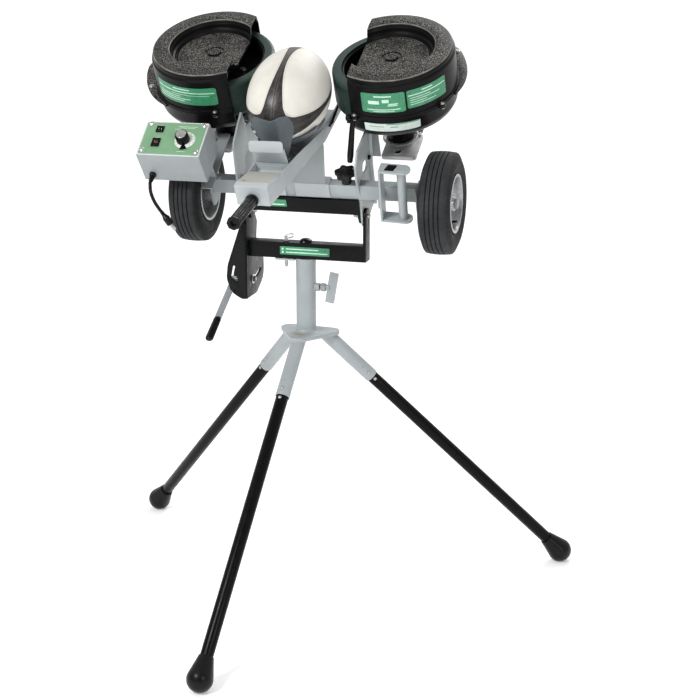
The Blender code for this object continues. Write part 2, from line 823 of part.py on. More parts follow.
SLOT_CENTRE_ANGLE = SLOT_REST_ANGLE - 90.0
TILT_BOLT_Y = SLOT_RADIUS * cos(radians(SLOT_CENTRE_ANGLE))
TILT_BOLT_Z = PIVOT_HEIGHT + SLOT_RADIUS * sin(radians(SLOT_CENTRE_ANGLE))


def make_tilt_quadrant():
    """A bent plate: one flange faces right and holds the pivot and curved slot, the other faces forward."""
    near = FLANGE_NEAR_Y
    outline = arc(0.0, PIVOT_HEIGHT, LUG_RADIUS, 160, 20, 6)
    corners = [(y, PIVOT_HEIGHT + rise, radius) for y, rise, radius in SECTOR_OUTLINE]
    corners += [(near, PIVOT_HEIGHT + FLANGE_UNDER, 0.0), (near, PIVOT_HEIGHT + FLANGE_OVER, 0.0)]
    outline += rounded(corners)
    first = SLOT_CENTRE_ANGLE - TILT_DOWN - 0.6
    last = SLOT_CENTRE_ANGLE + TILT_UP + 0.6
    slot = ring_slot(0.0, PIVOT_HEIGHT, SLOT_RADIUS, TILT_BOLT_RADIUS + SLIDE_GAP, first, last, 8)
    pivot = circle(0.0, PIVOT_HEIGHT, PIVOT_RADIUS + RUNNING_GAP)
    sector = plate(outline, FLANGE_THICKNESS, [slot, pivot], facing="X", at=FLANGE_X - FLANGE_THICKNESS)
    corners = [(FLANGE_X - out, PIVOT_HEIGHT + rise, radius) for out, rise, radius in FACE_OUTLINE]
    over = (FLANGE_X, PIVOT_HEIGHT + FLANGE_OVER, 0.0)
    under = (FLANGE_X, PIVOT_HEIGHT + FLANGE_UNDER - 0.0005, 0.0)
    front = rounded([over, *corners, under])
    hook = rounded([(FLANGE_X - out, PIVOT_HEIGHT + rise, radius) for out, rise, radius in HOOK_OUTLINE], 2)
    face = plate(front, FLANGE_THICKNESS, [hook], facing="Y", at=near)
    solid("tilt_quadrant", (BLACK_PAINT, 0.45), STAND, sector, [face])


def make_pivot_pins():
    left = turned(
        [
            (0.0, FLANGE_X + 0.016),
            (PIVOT_RADIUS, FLANGE_X + 0.015),
            (PIVOT_RADIUS, FLANGE_X - 0.0143),
            (0.009, FLANGE_X - 0.0143),
            (0.009, FLANGE_X - 0.0200),
            (0.0, FLANGE_X - 0.0200),
        ],
        SMALL_STEPS,
        axis="X",
    )
    solid("pivot_pin_left", (STEEL, 0.35, 1.0), STAND, left, place=(0.0, 0.0, PIVOT_HEIGHT))
    right = turned(
        [
            (0.0, UPRIGHT_X + UPRIGHT_THICKNESS + 0.006),
            (PIVOT_RADIUS, UPRIGHT_X + UPRIGHT_THICKNESS + 0.004),
            (PIVOT_RADIUS, 0.1340),
            (0.0080, 0.1340),
            (0.0080, 0.1300),
            (0.0055, 0.1270),
            (0.0035, 0.1190),
            (0.0, 0.1180),
        ],
        SMALL_STEPS,
        axis="X",
    )
    solid("pivot_pin_right", (STEEL, 0.3, 1.0), STAND, right, place=(0.0, 0.0, PIVOT_HEIGHT))


# Head frame members

CROSSBAR_TOP = CROSSBAR_BOTTOM + CROSSBAR_HEIGHT
TUBE_BOTTOM = CROSSBAR_TOP + GAP
TUBE_TOP = TUBE_BOTTOM + AXLE_TUBE_HEIGHT
TUBE_HALF = AXLE_TUBE_DEPTH / 2
RIGHT_PLATE_X = UPRIGHT_X - HEAD_X - GAP - SIDE_PLATE_THICKNESS
LEFT_PLATE_X = FLANGE_X - FLANGE_THICKNESS - HEAD_X - 0.004 - SIDE_PLATE_THICKNESS
MOUNT_TOP = LAUNCHER_Z - BOWL_DEPTH - GAP
MOUNT_THICKNESS = 0.004


def make_crossbar():
    left = FLANGE_X - HEAD_X + GAP
    right = RIGHT_PLATE_X - GAP
    bar = box((left, -BAR_HALF, CROSSBAR_BOTTOM), (right, BAR_HALF, CROSSBAR_TOP))
    outline = [(BAR_HALF, CROSSBAR_BOTTOM + 0.01), (-BAR_HALF, CROSSBAR_BOTTOM + 0.01)]
    outline += arc(0.0, 0.0, LUG_RADIUS, 180, 360, 10)
    pivot = circle(0.0, 0.0, PIVOT_RADIUS + RUNNING_GAP)
    lug_thickness = 0.006
    lugs = [
        plate(outline, lug_thickness, [pivot], facing="X", at=left),
        plate(outline, lug_thickness, [pivot], facing="X", at=right - lug_thickness),
    ]
    solid("crossbar", (BLACK_PAINT, 0.5), HEAD, bar, lugs)


def make_axle_tube():
    tube = box((AXLE_TUBE_LEFT, -TUBE_HALF, TUBE_BOTTOM), (AXLE_TUBE_RIGHT, TUBE_HALF, TUBE_TOP))
    wall = AXLE_TUBE_WALL
    bore = box(
        (AXLE_TUBE_LEFT - 0.01, wall - TUBE_HALF, TUBE_BOTTOM + wall),
        (AXLE_TUBE_RIGHT + 0.01, TUBE_HALF - wall, TUBE_TOP - wall),
    )
    hole = moved(rod(CLAMP_SCREW_RADIUS + RUNNING_GAP, TUBE_TOP - 0.01, TUBE_TOP + 0.01), (STAR_X, 0.0, 0.0))
    solid("axle_tube", (GREY_PAINT, 0.45), HEAD, tube, cuts=[bore, hole])


def make_tray_pedestal():
    inner = TUBE_HALF + GAP
    outer = inner + SADDLE_WALL
    top = TUBE_TOP + GAP + SADDLE_WALL
    low = TUBE_BOTTOM + 0.0038
    saddles = []
    hollows = []
    for side in (1, -1):
        x0, x1 = sorted((side * SADDLE_INNER_X, side * SADDLE_OUTER_X))
        saddles.append(box((x0, -outer, low), (x1, outer, top)))
        hollows.append(box((x0 - 0.001, -inner, low - 0.01), (x1 + 0.001, inner, TUBE_TOP + GAP)))
    foot_y, foot_z = -outer + 0.002, top - 0.002
    head_y, head_z = 0.045, 0.1683
    lean = degrees(atan2(head_z - foot_z, head_y - foot_y))
    length = hypot(head_y - foot_y, head_z - foot_z)
    outline = [(-0.087, 0.0), (0.087, 0.0), (0.0775, length), (-0.0775, length)]
    web = plate(outline, 0.004, at=-0.002)
    moved(web, (0.0, foot_y, foot_z), (lean, 0.0, 0.0))
    solid("tray_pedestal", (GREY_PAINT, 0.45), HEAD, web, saddles, hollows)


def tray_ring(section, inset=0.0, bottom=None, top=None):
    """The four corners of the tray's cross-section, pulled in by a wall."""
    y, half, low, high = section
    half -= inset
    low = low + inset if bottom is None else bottom
    high = high if top is None else top
    return [(-half, y, low), (half, y, low), (half, y, high), (-half, y, high)]


def tray_at(y):
    """The tray's section at a distance along the head."""
    for near, far in zip(TRAY_SECTIONS, TRAY_SECTIONS[1:]):
        if y <= far[0] or far is TRAY_SECTIONS[-1]:
            share = (y - near[0]) / (far[0] - near[0])
            return tuple(a + (b - a) * share for a, b in zip(near, far))
    return TRAY_SECTIONS[-1]


def make_ball_tray():
    shell = loft([tray_ring(section) for section in TRAY_SECTIONS])
    above = 0.30
    under_cover = GAP + COVER_THICKNESS
    near = tray_at(COVER_NEAR[0] - COVER_THICKNESS / 2)
    far = tray_at(COVER_FAR[0] + GAP)
    wall_y = TRAY_SECTIONS[1][0]
    seat = loft(
        [
            tray_ring(near, TRAY_WALL, COVER_NEAR[1] - under_cover, above),
            tray_ring(far, TRAY_WALL, COVER_FAR[1] - under_cover, above),
        ]
    )
    recess = loft(
        [
            tray_ring(tray_at(COVER_FAR[0] - 0.001), TRAY_WALL, COVER_FAR[1] - 0.018, above),
            tray_ring(tray_at(wall_y - 0.004), TRAY_WALL, COVER_FAR[1] - 0.020, above),
        ]
    )
    sections = [tray_at(wall_y + 0.001)]
    sections += list(TRAY_SECTIONS[2:])
    last = TRAY_SECTIONS[-1]
    sections[-1] = (last[0] + 0.001, *last[1:])
    trough = loft([tray_ring(section, TRAY_WALL, top=above) for section in sections])
    solid("ball_tray", (GREY_PAINT, 0.45), HEAD, shell, cuts=[seat, recess, trough])


def make_tray_cover():
    near_half = tray_at(COVER_NEAR[0])[1] - TRAY_WALL - GAP
    far_half = tray_at(COVER_FAR[0])[1] - TRAY_WALL - GAP
    length = hypot(COVER_FAR[0] - COVER_NEAR[0], COVER_FAR[1] - COVER_NEAR[1])
    slope = degrees(atan2(COVER_FAR[1] - COVER_NEAR[1], COVER_FAR[0] - COVER_NEAR[0]))
    outline = [(-near_half, 0.0), (near_half, 0.0), (far_half, length), (-far_half, length)]
    cover = plate(outline, COVER_THICKNESS, at=-COVER_THICKNESS)
    solid(
        "tray_cover",
        ((0.70, 0.69, 0.65), 0.5),
        HEAD,
        cover,
        place=(0.0, *COVER_NEAR),
        turn=(slope, 0.0, 0.0),
    )


def make_backstop():
    """A folded sheet that closes the tray behind the cover, with an upright lip of rounded corners."""
    y = TRAY_SECTIONS[1][0] + 0.0005
    z = tray_at(y - 0.004)[3] + GAP
    fold = strip([(y, z), (y - 0.010, z + 0.045), (y - 0.0235, z + 0.046)], 0.0025)
    half = TRAY_SECTIONS[1][1] - TRAY_WALL
    sheet = plate(fold, 2 * half, facing="X", at=-half)
    lip = plate(rounded_box(0.080, 0.027, 0.007), 0.0025, at=-0.00125)
    moved(lip, (0.0, y - 0.0203, z + 0.0565), (76.0, 0.0, 0.0))
    solid("backstop_plate", (GREY_PAINT, 0.4), HEAD, sheet, [lip])


def make_ball_trough():
    """The moulded cradle: a notched tail wall and a shell under the ball."""
    tail = plate(rounded(TAIL_OUTLINE), TAIL_FAR - TAIL_NEAR, facing="Y", at=TAIL_NEAR)
    radius = BALL_DIAMETER / 2 + CRADLE_CLEARANCE
    half = BALL_LENGTH / 2 + CRADLE_CLEARANCE
    outer = moved(ball_mesh(half + CRADLE_WALL, radius + CRADLE_WALL, 6, 20), (0.0, BALL_Y, BALL_Z))
    scoop_box = box((-SCOOP_HALF, TAIL_FAR - 0.03, SCOOP_BOTTOM), (SCOOP_HALF, BALL_Y, SCOOP_TOP))
    scoop = solid("scoop", None, HEAD, outer, clips=[scoop_box])
    scoop_mesh = evaluated_mesh(scoop)
    cavity = moved(ball_mesh(half, radius, 6, 20), (0.0, BALL_Y, BALL_Z))
    solid("ball_trough", ((0.08, 0.095, 0.10), 0.5), HEAD, tail, [scoop_mesh], [cavity])


def make_ball():
    ball = ball_mesh(BALL_LENGTH / 2, BALL_DIAMETER / 2)
    solid("rugby_ball", ((0.75, 0.74, 0.72), 0.55), HEAD, ball, place=(0.0, BALL_Y, BALL_Z))


def make_aim_grip():
    flutes = 12
    outline = []
    for k in range(2 * flutes):
        angle = 2 * pi * (k + 0.25) / (2 * flutes)
        radius = GRIP_RADIUS - 0.0014 * (k % 2)
        outline.append((radius * cos(angle), radius * sin(angle)))
    grip = plate(outline, GRIP_LENGTH - 0.006, at=GAP)
    flange = plate(circle(0.0, 0.0, 0.0172, 8), 0.007, at=GRIP_LENGTH - 0.007)
    collar = rod(0.0165, 0.002, 0.010, 12)
    hole = rod(0.0065, GRIP_LENGTH - 0.030, GRIP_LENGTH + 0.01, 12)
    near = TRAY_SECTIONS[0]
    start = (0.0, near[0] - 0.0048, near[2] + 0.0175)
    solid("aim_grip", (RUBBER, 0.5), HEAD, grip, [flange, collar], [hole], place=start, turn=(72.5, 0.0, 3.0))


def side_plate_outline(side):
    """The plate's outline in (y, z); the left one runs on down to the tilt lock bolt."""
    top = MOUNT_TOP - 0.001
    far = [(0.262, top, 0.0), (0.262, 0.150, 0.01), (0.140, 0.098, 0.03), (0.036, 0.045, 0.02)]
    if side > 0:
        tail = [(0.0215, -0.012, 0.012), (-0.006, -0.030, 0.012), (-0.021, -0.012, 0.012)]
        near = [(-0.0190, 0.104, 0.006), (0.019, 0.143, 0.02), (0.066, top, 0.004)]
        return rounded(far + tail + near)
    down = radians(-90.0 - HEAD_PITCH + SLOT_REST_ANGLE)
    end = Vector((cos(down), sin(down))) * SLOT_RADIUS
    across = Vector((-sin(down), cos(down))) * TILT_ARM_WIDTH / 2
    shoulder = end * 0.31 + across
    hip = end * 0.13 - across
    tip = arc(end.x, end.y, TILT_ARM_WIDTH / 2, degrees(down) + 90, degrees(down) - 90, 8)
    corners = far + [(*shoulder, 0.02)] + [(*point, 0.0) for point in tip] + [(*hip, 0.02)]
    corners += [(-0.0190, 0.104, 0.006), (-0.001, 0.190, 0.01), (0.083, 0.226, 0.003), (0.094, top, 0.003)]
    return rounded(corners)


def make_side_plate(name, side):
    outer = RIGHT_PLATE_X if side > 0 else LEFT_PLATE_X
    holes = [
        circle(0.0, 0.0, PIVOT_RADIUS + RUNNING_GAP),
        [
            (-TUBE_HALF - GAP, TUBE_BOTTOM - GAP),
            (TUBE_HALF + GAP, TUBE_BOTTOM - GAP),
            (TUBE_HALF + GAP, TUBE_TOP + GAP),
            (-TUBE_HALF - GAP, TUBE_TOP + GAP),
        ],
        rounded_box(0.040, 0.020, 0.009, 0.080, 0.098),
    ]
    if side < 0:
        down = radians(-90.0 - HEAD_PITCH + SLOT_REST_ANGLE)
        holes.append(circle(SLOT_RADIUS * cos(down), SLOT_RADIUS * sin(down), TILT_BOLT_RADIUS + GAP))
    web = plate(side_plate_outline(side), SIDE_PLATE_THICKNESS, holes, facing="X", at=outer)
    inner_x = outer + 0.001 if side > 0 else outer + SIDE_PLATE_THICKNESS - 0.001
    end_x = side * (LAUNCHER_X + MOUNT_HALF - 0.010)
    corners = [
        (inner_x, LAUNCHER_Y - MOUNT_HALF, 0.0),
        (end_x, LAUNCHER_Y - MOUNT_HALF, 0.02),
        (end_x, 0.264, 0.02),
        (inner_x, 0.264, 0.0),
    ]
    hole = circle(side * LAUNCHER_X, LAUNCHER_Y, NECK_RADIUS + GAP, 24)
    shelf = plate(rounded(corners), MOUNT_THICKNESS, [hole], at=MOUNT_TOP - MOUNT_THICKNESS)
    solid(f"side_plate_{name}", (GREY_PAINT, 0.45), HEAD, web, [shelf])


def make_star_knob():
    lobes = 6
    outline = []
    for k in range(4 * lobes):
        angle = 2 * pi * k / (4 * lobes)
        radius = STAR_RADIUS + 0.0028 * cos(lobes * angle)
        outline.append((radius * cos(angle), radius * sin(angle)))
    head = plate(outline, 0.015, at=0.020)
    stem = rod(0.0115, GAP, 0.021, 16, top_radius=0.0145)
    screw = rod(CLAMP_SCREW_RADIUS, -0.012, 0.005)
    place = (STAR_X, 0.0, TUBE_TOP)
    solid("star_knob", (BLACK_PAINT, 0.35), HEAD, head, [stem, screw], place=place, bevel=0.003)


# Throwing units


def launcher_frame(name, side):
    return frame(f"launcher_{name}", HEAD, (side * LAUNCHER_X, LAUNCHER_Y, LAUNCHER_Z))


def ball_side_cutter(side, low, high):
    """A block that opens the guards towards the ball."""
    reach = 0.1
    x0, x1 = sorted((-side * GUARD_CUT, -side * (GUARD_CUT + reach)))
    return box((x0, -0.2, low), (x1, 0.2, high))


def make_guard(name, side, carrier):
    """A spun cover with a deep off-centre pocket in its top."""
    top = turned(
        [
            (0.0, 0.0),
            (GUARD_RADIUS - 0.010, 0.0),
            (GUARD_RADIUS - 0.003, -0.003),
            (GUARD_RADIUS, -0.010),
            (GUARD_RADIUS, -GUARD_DEPTH + 0.005),
            (GUARD_RADIUS + GUARD_LIP, -GUARD_DEPTH + 0.005),
            (GUARD_RADIUS + GUARD_LIP, -GUARD_DEPTH),
            (0.0, -GUARD_DEPTH),
        ],
        GUARD_STEPS,
    )
    wall = GUARD_WALL
    cavity = turned(
        [
            (0.0, -wall),
            (GUARD_RADIUS - wall - 0.006, -wall),
            (GUARD_RADIUS - wall, -wall - 0.006),
            (GUARD_RADIUS - wall, -GUARD_DEPTH - 0.01),
            (0.0, -GUARD_DEPTH - 0.01),
        ],
        INNER_STEPS,
    )
    centre = (-side * POCKET_SHIFT_X, POCKET_SHIFT_Y, 0.0)
    floor = -POCKET_DEPTH
    step = -POCKET_STEP

    def pocket_profile(grow, lift):
        return [
            (0.0, 0.02 + lift),
            (POCKET_RADIUS + grow, 0.02 + lift),
            (POCKET_RADIUS - 0.001 + grow, step),
            (POCKET_FLOOR_RADIUS + 0.008 + grow, step - 0.004),
            (POCKET_FLOOR_RADIUS + grow, floor - grow),
            (0.0, floor - grow),
        ]

    pocket = moved(turned(pocket_profile(0.0, 0.0), GUARD_STEPS), centre)
    liner = moved(turned(pocket_profile(wall * 0.8, 0.001), INNER_STEPS), centre)
    hollow = solid(f"guard_hollow_{name}", None, carrier, cavity, cuts=[liner])
    hollow_mesh = evaluated_mesh(hollow)
    nub = turned(
        [
            (0.0, floor + 0.0010),
            (0.010, floor + 0.0010),
            (0.0135, floor + 0.0042),
            (0.0185, floor + 0.0042),
            (0.0225, floor - 0.0005),
            (0.0, floor - 0.0005),
        ],
        24,
    )
    guard = solid(
        f"guard_{name}",
        (BLACK_PAINT, 0.5),
        carrier,
        top,
        cuts=[hollow_mesh, pocket, ball_side_cutter(side, -0.2, 0.1)],
    )
    join = place_object(f"guard_{name}_nub", nub, None, carrier, (0, 0, 0), (0, 0, 0))
    union = guard.modifiers.new("nub", "BOOLEAN")
    union.operation = "UNION"
    union.solver = "EXACT"
    union.object = join


def make_guard_bowl(name, side, carrier):
    """The lower shell, with its flange, its outer ear and the bearing neck below."""
    flange_top = -GUARD_DEPTH - GAP
    wall = GUARD_WALL
    bottom = -BOWL_DEPTH
    lip = GUARD_RADIUS + GUARD_LIP
    bowl = turned(
        [
            (lip, flange_top),
            (lip, flange_top - FLANGE_HEIGHT),
            (GUARD_RADIUS - 0.0005, flange_top - FLANGE_HEIGHT),
            (GUARD_RADIUS - 0.0038, bottom + 0.022),
            (GUARD_RADIUS - 0.0130, bottom + 0.006),
            (GUARD_RADIUS - 0.0230, bottom),
            (NECK_RADIUS, bottom),
            (NECK_RADIUS, -NECK_BOTTOM),
            (NECK_RADIUS - NECK_WALL, -NECK_BOTTOM),
            (NECK_RADIUS - NECK_WALL, bottom + wall),
            (GUARD_RADIUS - 0.0245, bottom + wall),
            (GUARD_RADIUS - 0.0157, bottom + 0.0085),
            (GUARD_RADIUS - 0.0066, bottom + 0.0235),
            (GUARD_RADIUS - 0.0035, flange_top - 0.004),
            (GUARD_RADIUS - 0.0035, flange_top),
        ],
        WHEEL_STEPS,
    )
    ear_outline = []
    for angle, reach in EAR_OUTLINE:
        turn = radians(angle + EAR_TURNS[name])
        ear_outline.append((side * reach * cos(turn), reach * sin(turn)))
    inner = GUARD_RADIUS - 0.006
    for angle in (EAR_OUTLINE[-1][0], EAR_OUTLINE[len(EAR_OUTLINE) // 2][0], EAR_OUTLINE[0][0]):
        turn = radians(angle + EAR_TURNS[name])
        ear_outline.append((side * inner * cos(turn), inner * sin(turn)))
    ear = plate(ear_outline, FLANGE_HEIGHT, at=flange_top - FLANGE_HEIGHT)
    clear = rod(GUARD_RADIUS - 0.0025, flange_top - 0.02, flange_top + 0.02, WHEEL_STEPS)
    ear_solid = solid(f"guard_ear_{name}", None, carrier, ear, cuts=[clear])
    ear_mesh = evaluated_mesh(ear_solid)
    solid(
        f"guard_bowl_{name}",
        (BLACK_PAINT, 0.5),
        carrier,
        bowl,
        [ear_mesh],
        [ball_side_cutter(side, -0.2, 0.1)],
    )


def make_throwing_wheel(name, side, carrier):
    top = -THROWING_TOP
    bottom = top - THROWING_WIDTH
    r = THROWING_RADIUS
    tyre = turned(
        [
            (THROWING_RIM, top),
            (r - 0.005, top),
            (r - 0.0012, top - 0.003),
            (r, top - 0.009),
            (r, bottom + 0.009),
            (r - 0.0012, bottom + 0.003),
            (r - 0.005, bottom),
            (THROWING_RIM, bottom),
        ],
        WHEEL_STEPS,
    )
    solid(f"throwing_tyre_{name}", ((0.02, 0.045, 0.035), 0.6), carrier, tyre)
    rim = THROWING_RIM - GAP
    web_top, web_bottom = top - 0.039, top - 0.047
    hub = turned(
        [
            (0.0, top - 0.004),
            (0.012, top - 0.004),
            (0.012, top - 0.018),
            (0.030, web_top),
            (rim - 0.005, web_top),
            (rim - 0.005, top - 0.006),
            (rim, top - 0.006),
            (rim, bottom + 0.006),
            (rim - 0.005, bottom + 0.006),
            (rim - 0.005, web_bottom),
            (0.030, web_bottom),
            (0.028, bottom + 0.002),
            (SHAFT_RADIUS, bottom + 0.002),
            (SHAFT_RADIUS, -NECK_BOTTOM - 0.018),
            (0.0, -NECK_BOTTOM - 0.018),
        ],
        WHEEL_STEPS,
    )
    solid(f"throwing_hub_{name}", ((0.10, 0.10, 0.11), 0.5, 0.6), carrier, hub)


def make_gearbox_and_motor(name, side, carrier):
    width, depth, height = GEARBOX_SIZE
    top = -NECK_BOTTOM - GAP
    bottom = top - height
    start = NECK_RADIUS + 0.003
    body = box((-width / 2, -depth / 2, bottom), (width / 2, start - GAP, top))
    boss_x = -side * 0.008
    boss_z = (top + bottom) / 2
    boss = moved(rod(0.0205, -depth / 2 - 0.004, 0.0, 20, axis="Y"), (boss_x, 0.0, boss_z))
    lip = box(
        (-width / 2 - 0.003, -depth / 2 - 0.003, bottom - 0.004),
        (width / 2 + 0.003, depth / 2, bottom + 0.004),
    )
    eye = moved(rod(0.0085, -depth / 2 - 0.01, -depth / 2 + 0.012, axis="Y"), (boss_x, 0.0, boss_z))
    bore = rod(SHAFT_RADIUS + RUNNING_GAP, top - 0.0185, top + 0.01, WHEEL_STEPS)
    solid(f"gearbox_{name}", (STEEL, 0.5, 0.8), carrier, body, [boss, lip], [eye, bore], bevel=0.004)
    r = MOTOR_RADIUS
    motor = turned(
        [
            (0.0, start + MOTOR_LENGTH),
            (r - 0.008, start + MOTOR_LENGTH),
            (r - 0.002, start + MOTOR_LENGTH - 0.006),
            (r - 0.002, start + MOTOR_LENGTH - 0.022),
            (r, start + MOTOR_LENGTH - 0.023),
            (r, start),
            (0.0, start),
        ],
        INNER_STEPS,
        axis="Y",
    )
    solid(f"motor_{name}", ((0.05, 0.05, 0.055), 0.45, 0.3), carrier, motor, place=(0.0, 0.0, boss_z))


def make_release_lever():
    """It hangs straight down from its pin beside the right guard's flange."""
    y, z = 0.073, 0.2265
    left = LAUNCHER_X - GUARD_CUT - 0.0123
    right = LAUNCHER_X - GUARD_CUT - GAP
    hub = rod(0.0075, left, right, axis="X")
    middle = (left + right) / 2
    neck = box((middle - 0.0025, -0.0035, -0.036), (middle + 0.0025, 0.0035, 0.0))
    profile = [
        (0.0, -0.030),
        (0.0045, -0.031),
        (0.0070, -0.045),
        (0.0075, -0.090),
        (0.0055, -0.102),
        (0.0, -0.104),
    ]
    handle = moved(turned(profile, SMALL_STEPS), (middle, 0.0, 0.0))
    solid(
        "release_lever",
        (BLACK_PAINT, 0.35),
        HEAD,
        handle,
        [neck, hub],
        place=(0.0, y, z),
        turn=(-HEAD_PITCH, 0, 0),
    )


# Transport wheels


def make_transport_wheel(name, side, x, plate_face):
    carrier = frame(f"wheel_{name}", HEAD, (x, 0.0, WHEEL_Z), (0.0, 90.0 * side, 0.0))
    r = TRANSPORT_RADIUS
    w = TRANSPORT_WIDTH / 2
    bead = RIM_RADIUS + 0.0005
    tread = [(0.772 * r, w), (0.90 * r, 0.932 * w), (0.971 * r, 0.716 * w), (r, 0.324 * w)]
    inner = [(bead + 0.006, -0.81 * w), (bead, -0.54 * w), (bead, 0.54 * w), (bead + 0.006, 0.81 * w)]
    tyre = turned(tread + [(radius, -z) for radius, z in reversed(tread)] + inner, WHEEL_STEPS)
    solid(f"transport_tyre_{name}", (RUBBER, 0.7), carrier, tyre)

    inboard = -abs(x - plate_face) + GAP
    outboard = 0.030
    bore = STUB_RADIUS + RUNNING_GAP
    lip = RIM_RADIUS + 0.003
    rim = turned(
        [
            (RIM_RADIUS - 0.004, 0.93 * w),
            (lip, 0.93 * w),
            (RIM_RADIUS, 0.80 * w),
            (RIM_RADIUS, -0.80 * w),
            (lip, -0.93 * w),
            (RIM_RADIUS - 0.004, -0.93 * w),
            (RIM_RADIUS - 0.006, -0.006),
            (HUB_RADIUS + 0.014, -0.006),
            (HUB_RADIUS, -0.014),
            (HUB_RADIUS, inboard),
            (bore, inboard),
            (bore, outboard),
            (HUB_RADIUS, outboard),
            (HUB_RADIUS, 0.004),
            (RIM_RADIUS - 0.006, 0.0),
        ],
        ROUND_STEPS,
    )
    solid(f"transport_rim_{name}", (STEEL, 0.35, 1.0), carrier, rim)


def make_axle_end(name, side, x, tube_end):
    """End plate of the axle tube with the stub that carries a transport wheel."""
    low = tube_end + GAP if side > 0 else tube_end - GAP - END_PLATE_THICKNESS
    end_plate = plate(
        rounded(
            [
                (-0.025, 0.022, 0.012),
                (0.025, 0.022, 0.012),
                (0.025, TUBE_TOP, 0.004),
                (-0.025, TUBE_TOP, 0.004),
            ]
        ),
        END_PLATE_THICKNESS,
        facing="X",
        at=low,
    )
    root = low + END_PLATE_THICKNESS / 2
    tip = x + side * (0.030 + GAP)
    stub = moved(rod(STUB_RADIUS, *sorted((root, tip + side * 0.003)), axis="X"), (0.0, 0.0, WHEEL_Z))
    nut = moved(rod(0.0125, *sorted((tip, tip + side * 0.007)), 6, axis="X"), (0.0, 0.0, WHEEL_Z))
    solid(f"axle_end_{name}", (GREY_PAINT, 0.45), HEAD, end_plate, [stub, nut])
    return low + END_PLATE_THICKNESS if side > 0 else low


def make_carry_handle():
    """A flat bar bent to a C, with a round bar between its ends, welded to the front of the axle tube."""
    y0, y1 = CARRY_Y - CARRY_DEPTH / 2, CARRY_Y + CARRY_DEPTH / 2
    t = CARRY_THICKNESS
    reach = CARRY_BAR_X + 0.022
    bend = [(reach, CARRY_BOTTOM), (CARRY_WEB_X, CARRY_BOTTOM), (CARRY_WEB_X, CARRY_TOP), (reach, CARRY_TOP)]
    bent = strip(bend[::-1], t)
    sheet = plate(bent, CARRY_DEPTH, facing="Y", at=y0)
    bar = rod(CARRY_BAR_RADIUS, CARRY_BOTTOM + t / 2, CARRY_TOP - t / 2, 16)
    moved(bar, (CARRY_BAR_X, CARRY_Y, 0.0))
    tab = box(
        (CARRY_WEB_X + 0.0005, CARRY_Y, TUBE_BOTTOM + 0.002),
        (CARRY_WEB_X + t - 0.0005, -TUBE_HALF - GAP, TUBE_TOP - 0.002),
    )
    rounding = plate(
        rounded(
            [
                (CARRY_WEB_X - 0.01, y0 - 0.001, 0.0),
                (reach + 0.0005, y0 - 0.001, 0.016),
                (reach + 0.0005, y1 + 0.001, 0.016),
                (CARRY_WEB_X - 0.01, y1 + 0.001, 0.0),
            ]
        ),
        0.3,
        at=-0.02,
    )
    solid("carry_handle", (GREY_PAINT, 0.45), HEAD, sheet, [bar], clips=[rounding])
    join = place_object("carry_handle_tab", tab, None, HEAD, (0, 0, 0), (0, 0, 0))
    union = bpy.data.objects["carry_handle"].modifiers.new("tab", "BOOLEAN")
    union.operation = "UNION"
    union.solver = "EXACT"
    union.object = join


# Tilt lock


def make_tilt_lock_lever():
    bolt_left = LEVER_X - LEVER_BAR / 2 - 0.0005
    bolt_right = FLANGE_X + 0.008
    bolt = rod(TILT_BOLT_RADIUS, bolt_left, bolt_right, axis="X")
    nut = rod(0.0080, FLANGE_X + GAP, FLANGE_X + 0.0062, 6, axis="X")
    spacer_right = LEFT_PLATE_X + HEAD_X - GAP
    spacer = rod(0.0075, LEVER_X, spacer_right, axis="X")
    bar_end = LEVER_REACH - LEVER_GRIP_LENGTH
    bar_outline = rounded(
        [
            (-0.008, -0.007, 0.006),
            (bar_end + 0.01, -0.006, 0.0),
            (bar_end + 0.01, 0.006, 0.0),
            (-0.008, 0.007, 0.006),
        ]
    )
    bar = plate(bar_outline, LEVER_BAR, facing="X", at=LEVER_X - LEVER_BAR / 2)
    radius = LEVER_GRIP_RADIUS
    grip = turned(
        [
            (0.0, LEVER_REACH),
            (radius - 0.0017, LEVER_REACH - 0.001),
            (radius, LEVER_REACH - 0.005),
            (radius - 0.0004, bar_end + 0.004),
            (radius - 0.0022, bar_end),
            (0.0, bar_end),
        ],
        SMALL_STEPS,
        axis="Y",
    )
    moved(grip, (LEVER_X, 0.0, 0.0))
    moved(bar, turn=(LEVER_DROP - 180.0, 0.0, 0.0))
    moved(grip, turn=(LEVER_DROP - 180.0, 0.0, 0.0))
    place = (0.0, TILT_BOLT_Y, TILT_BOLT_Z)
    solid("tilt_lock_lever", (STEEL, 0.4, 0.8), STAND, bar, [bolt, nut, spacer, grip], place=place)


# Control box


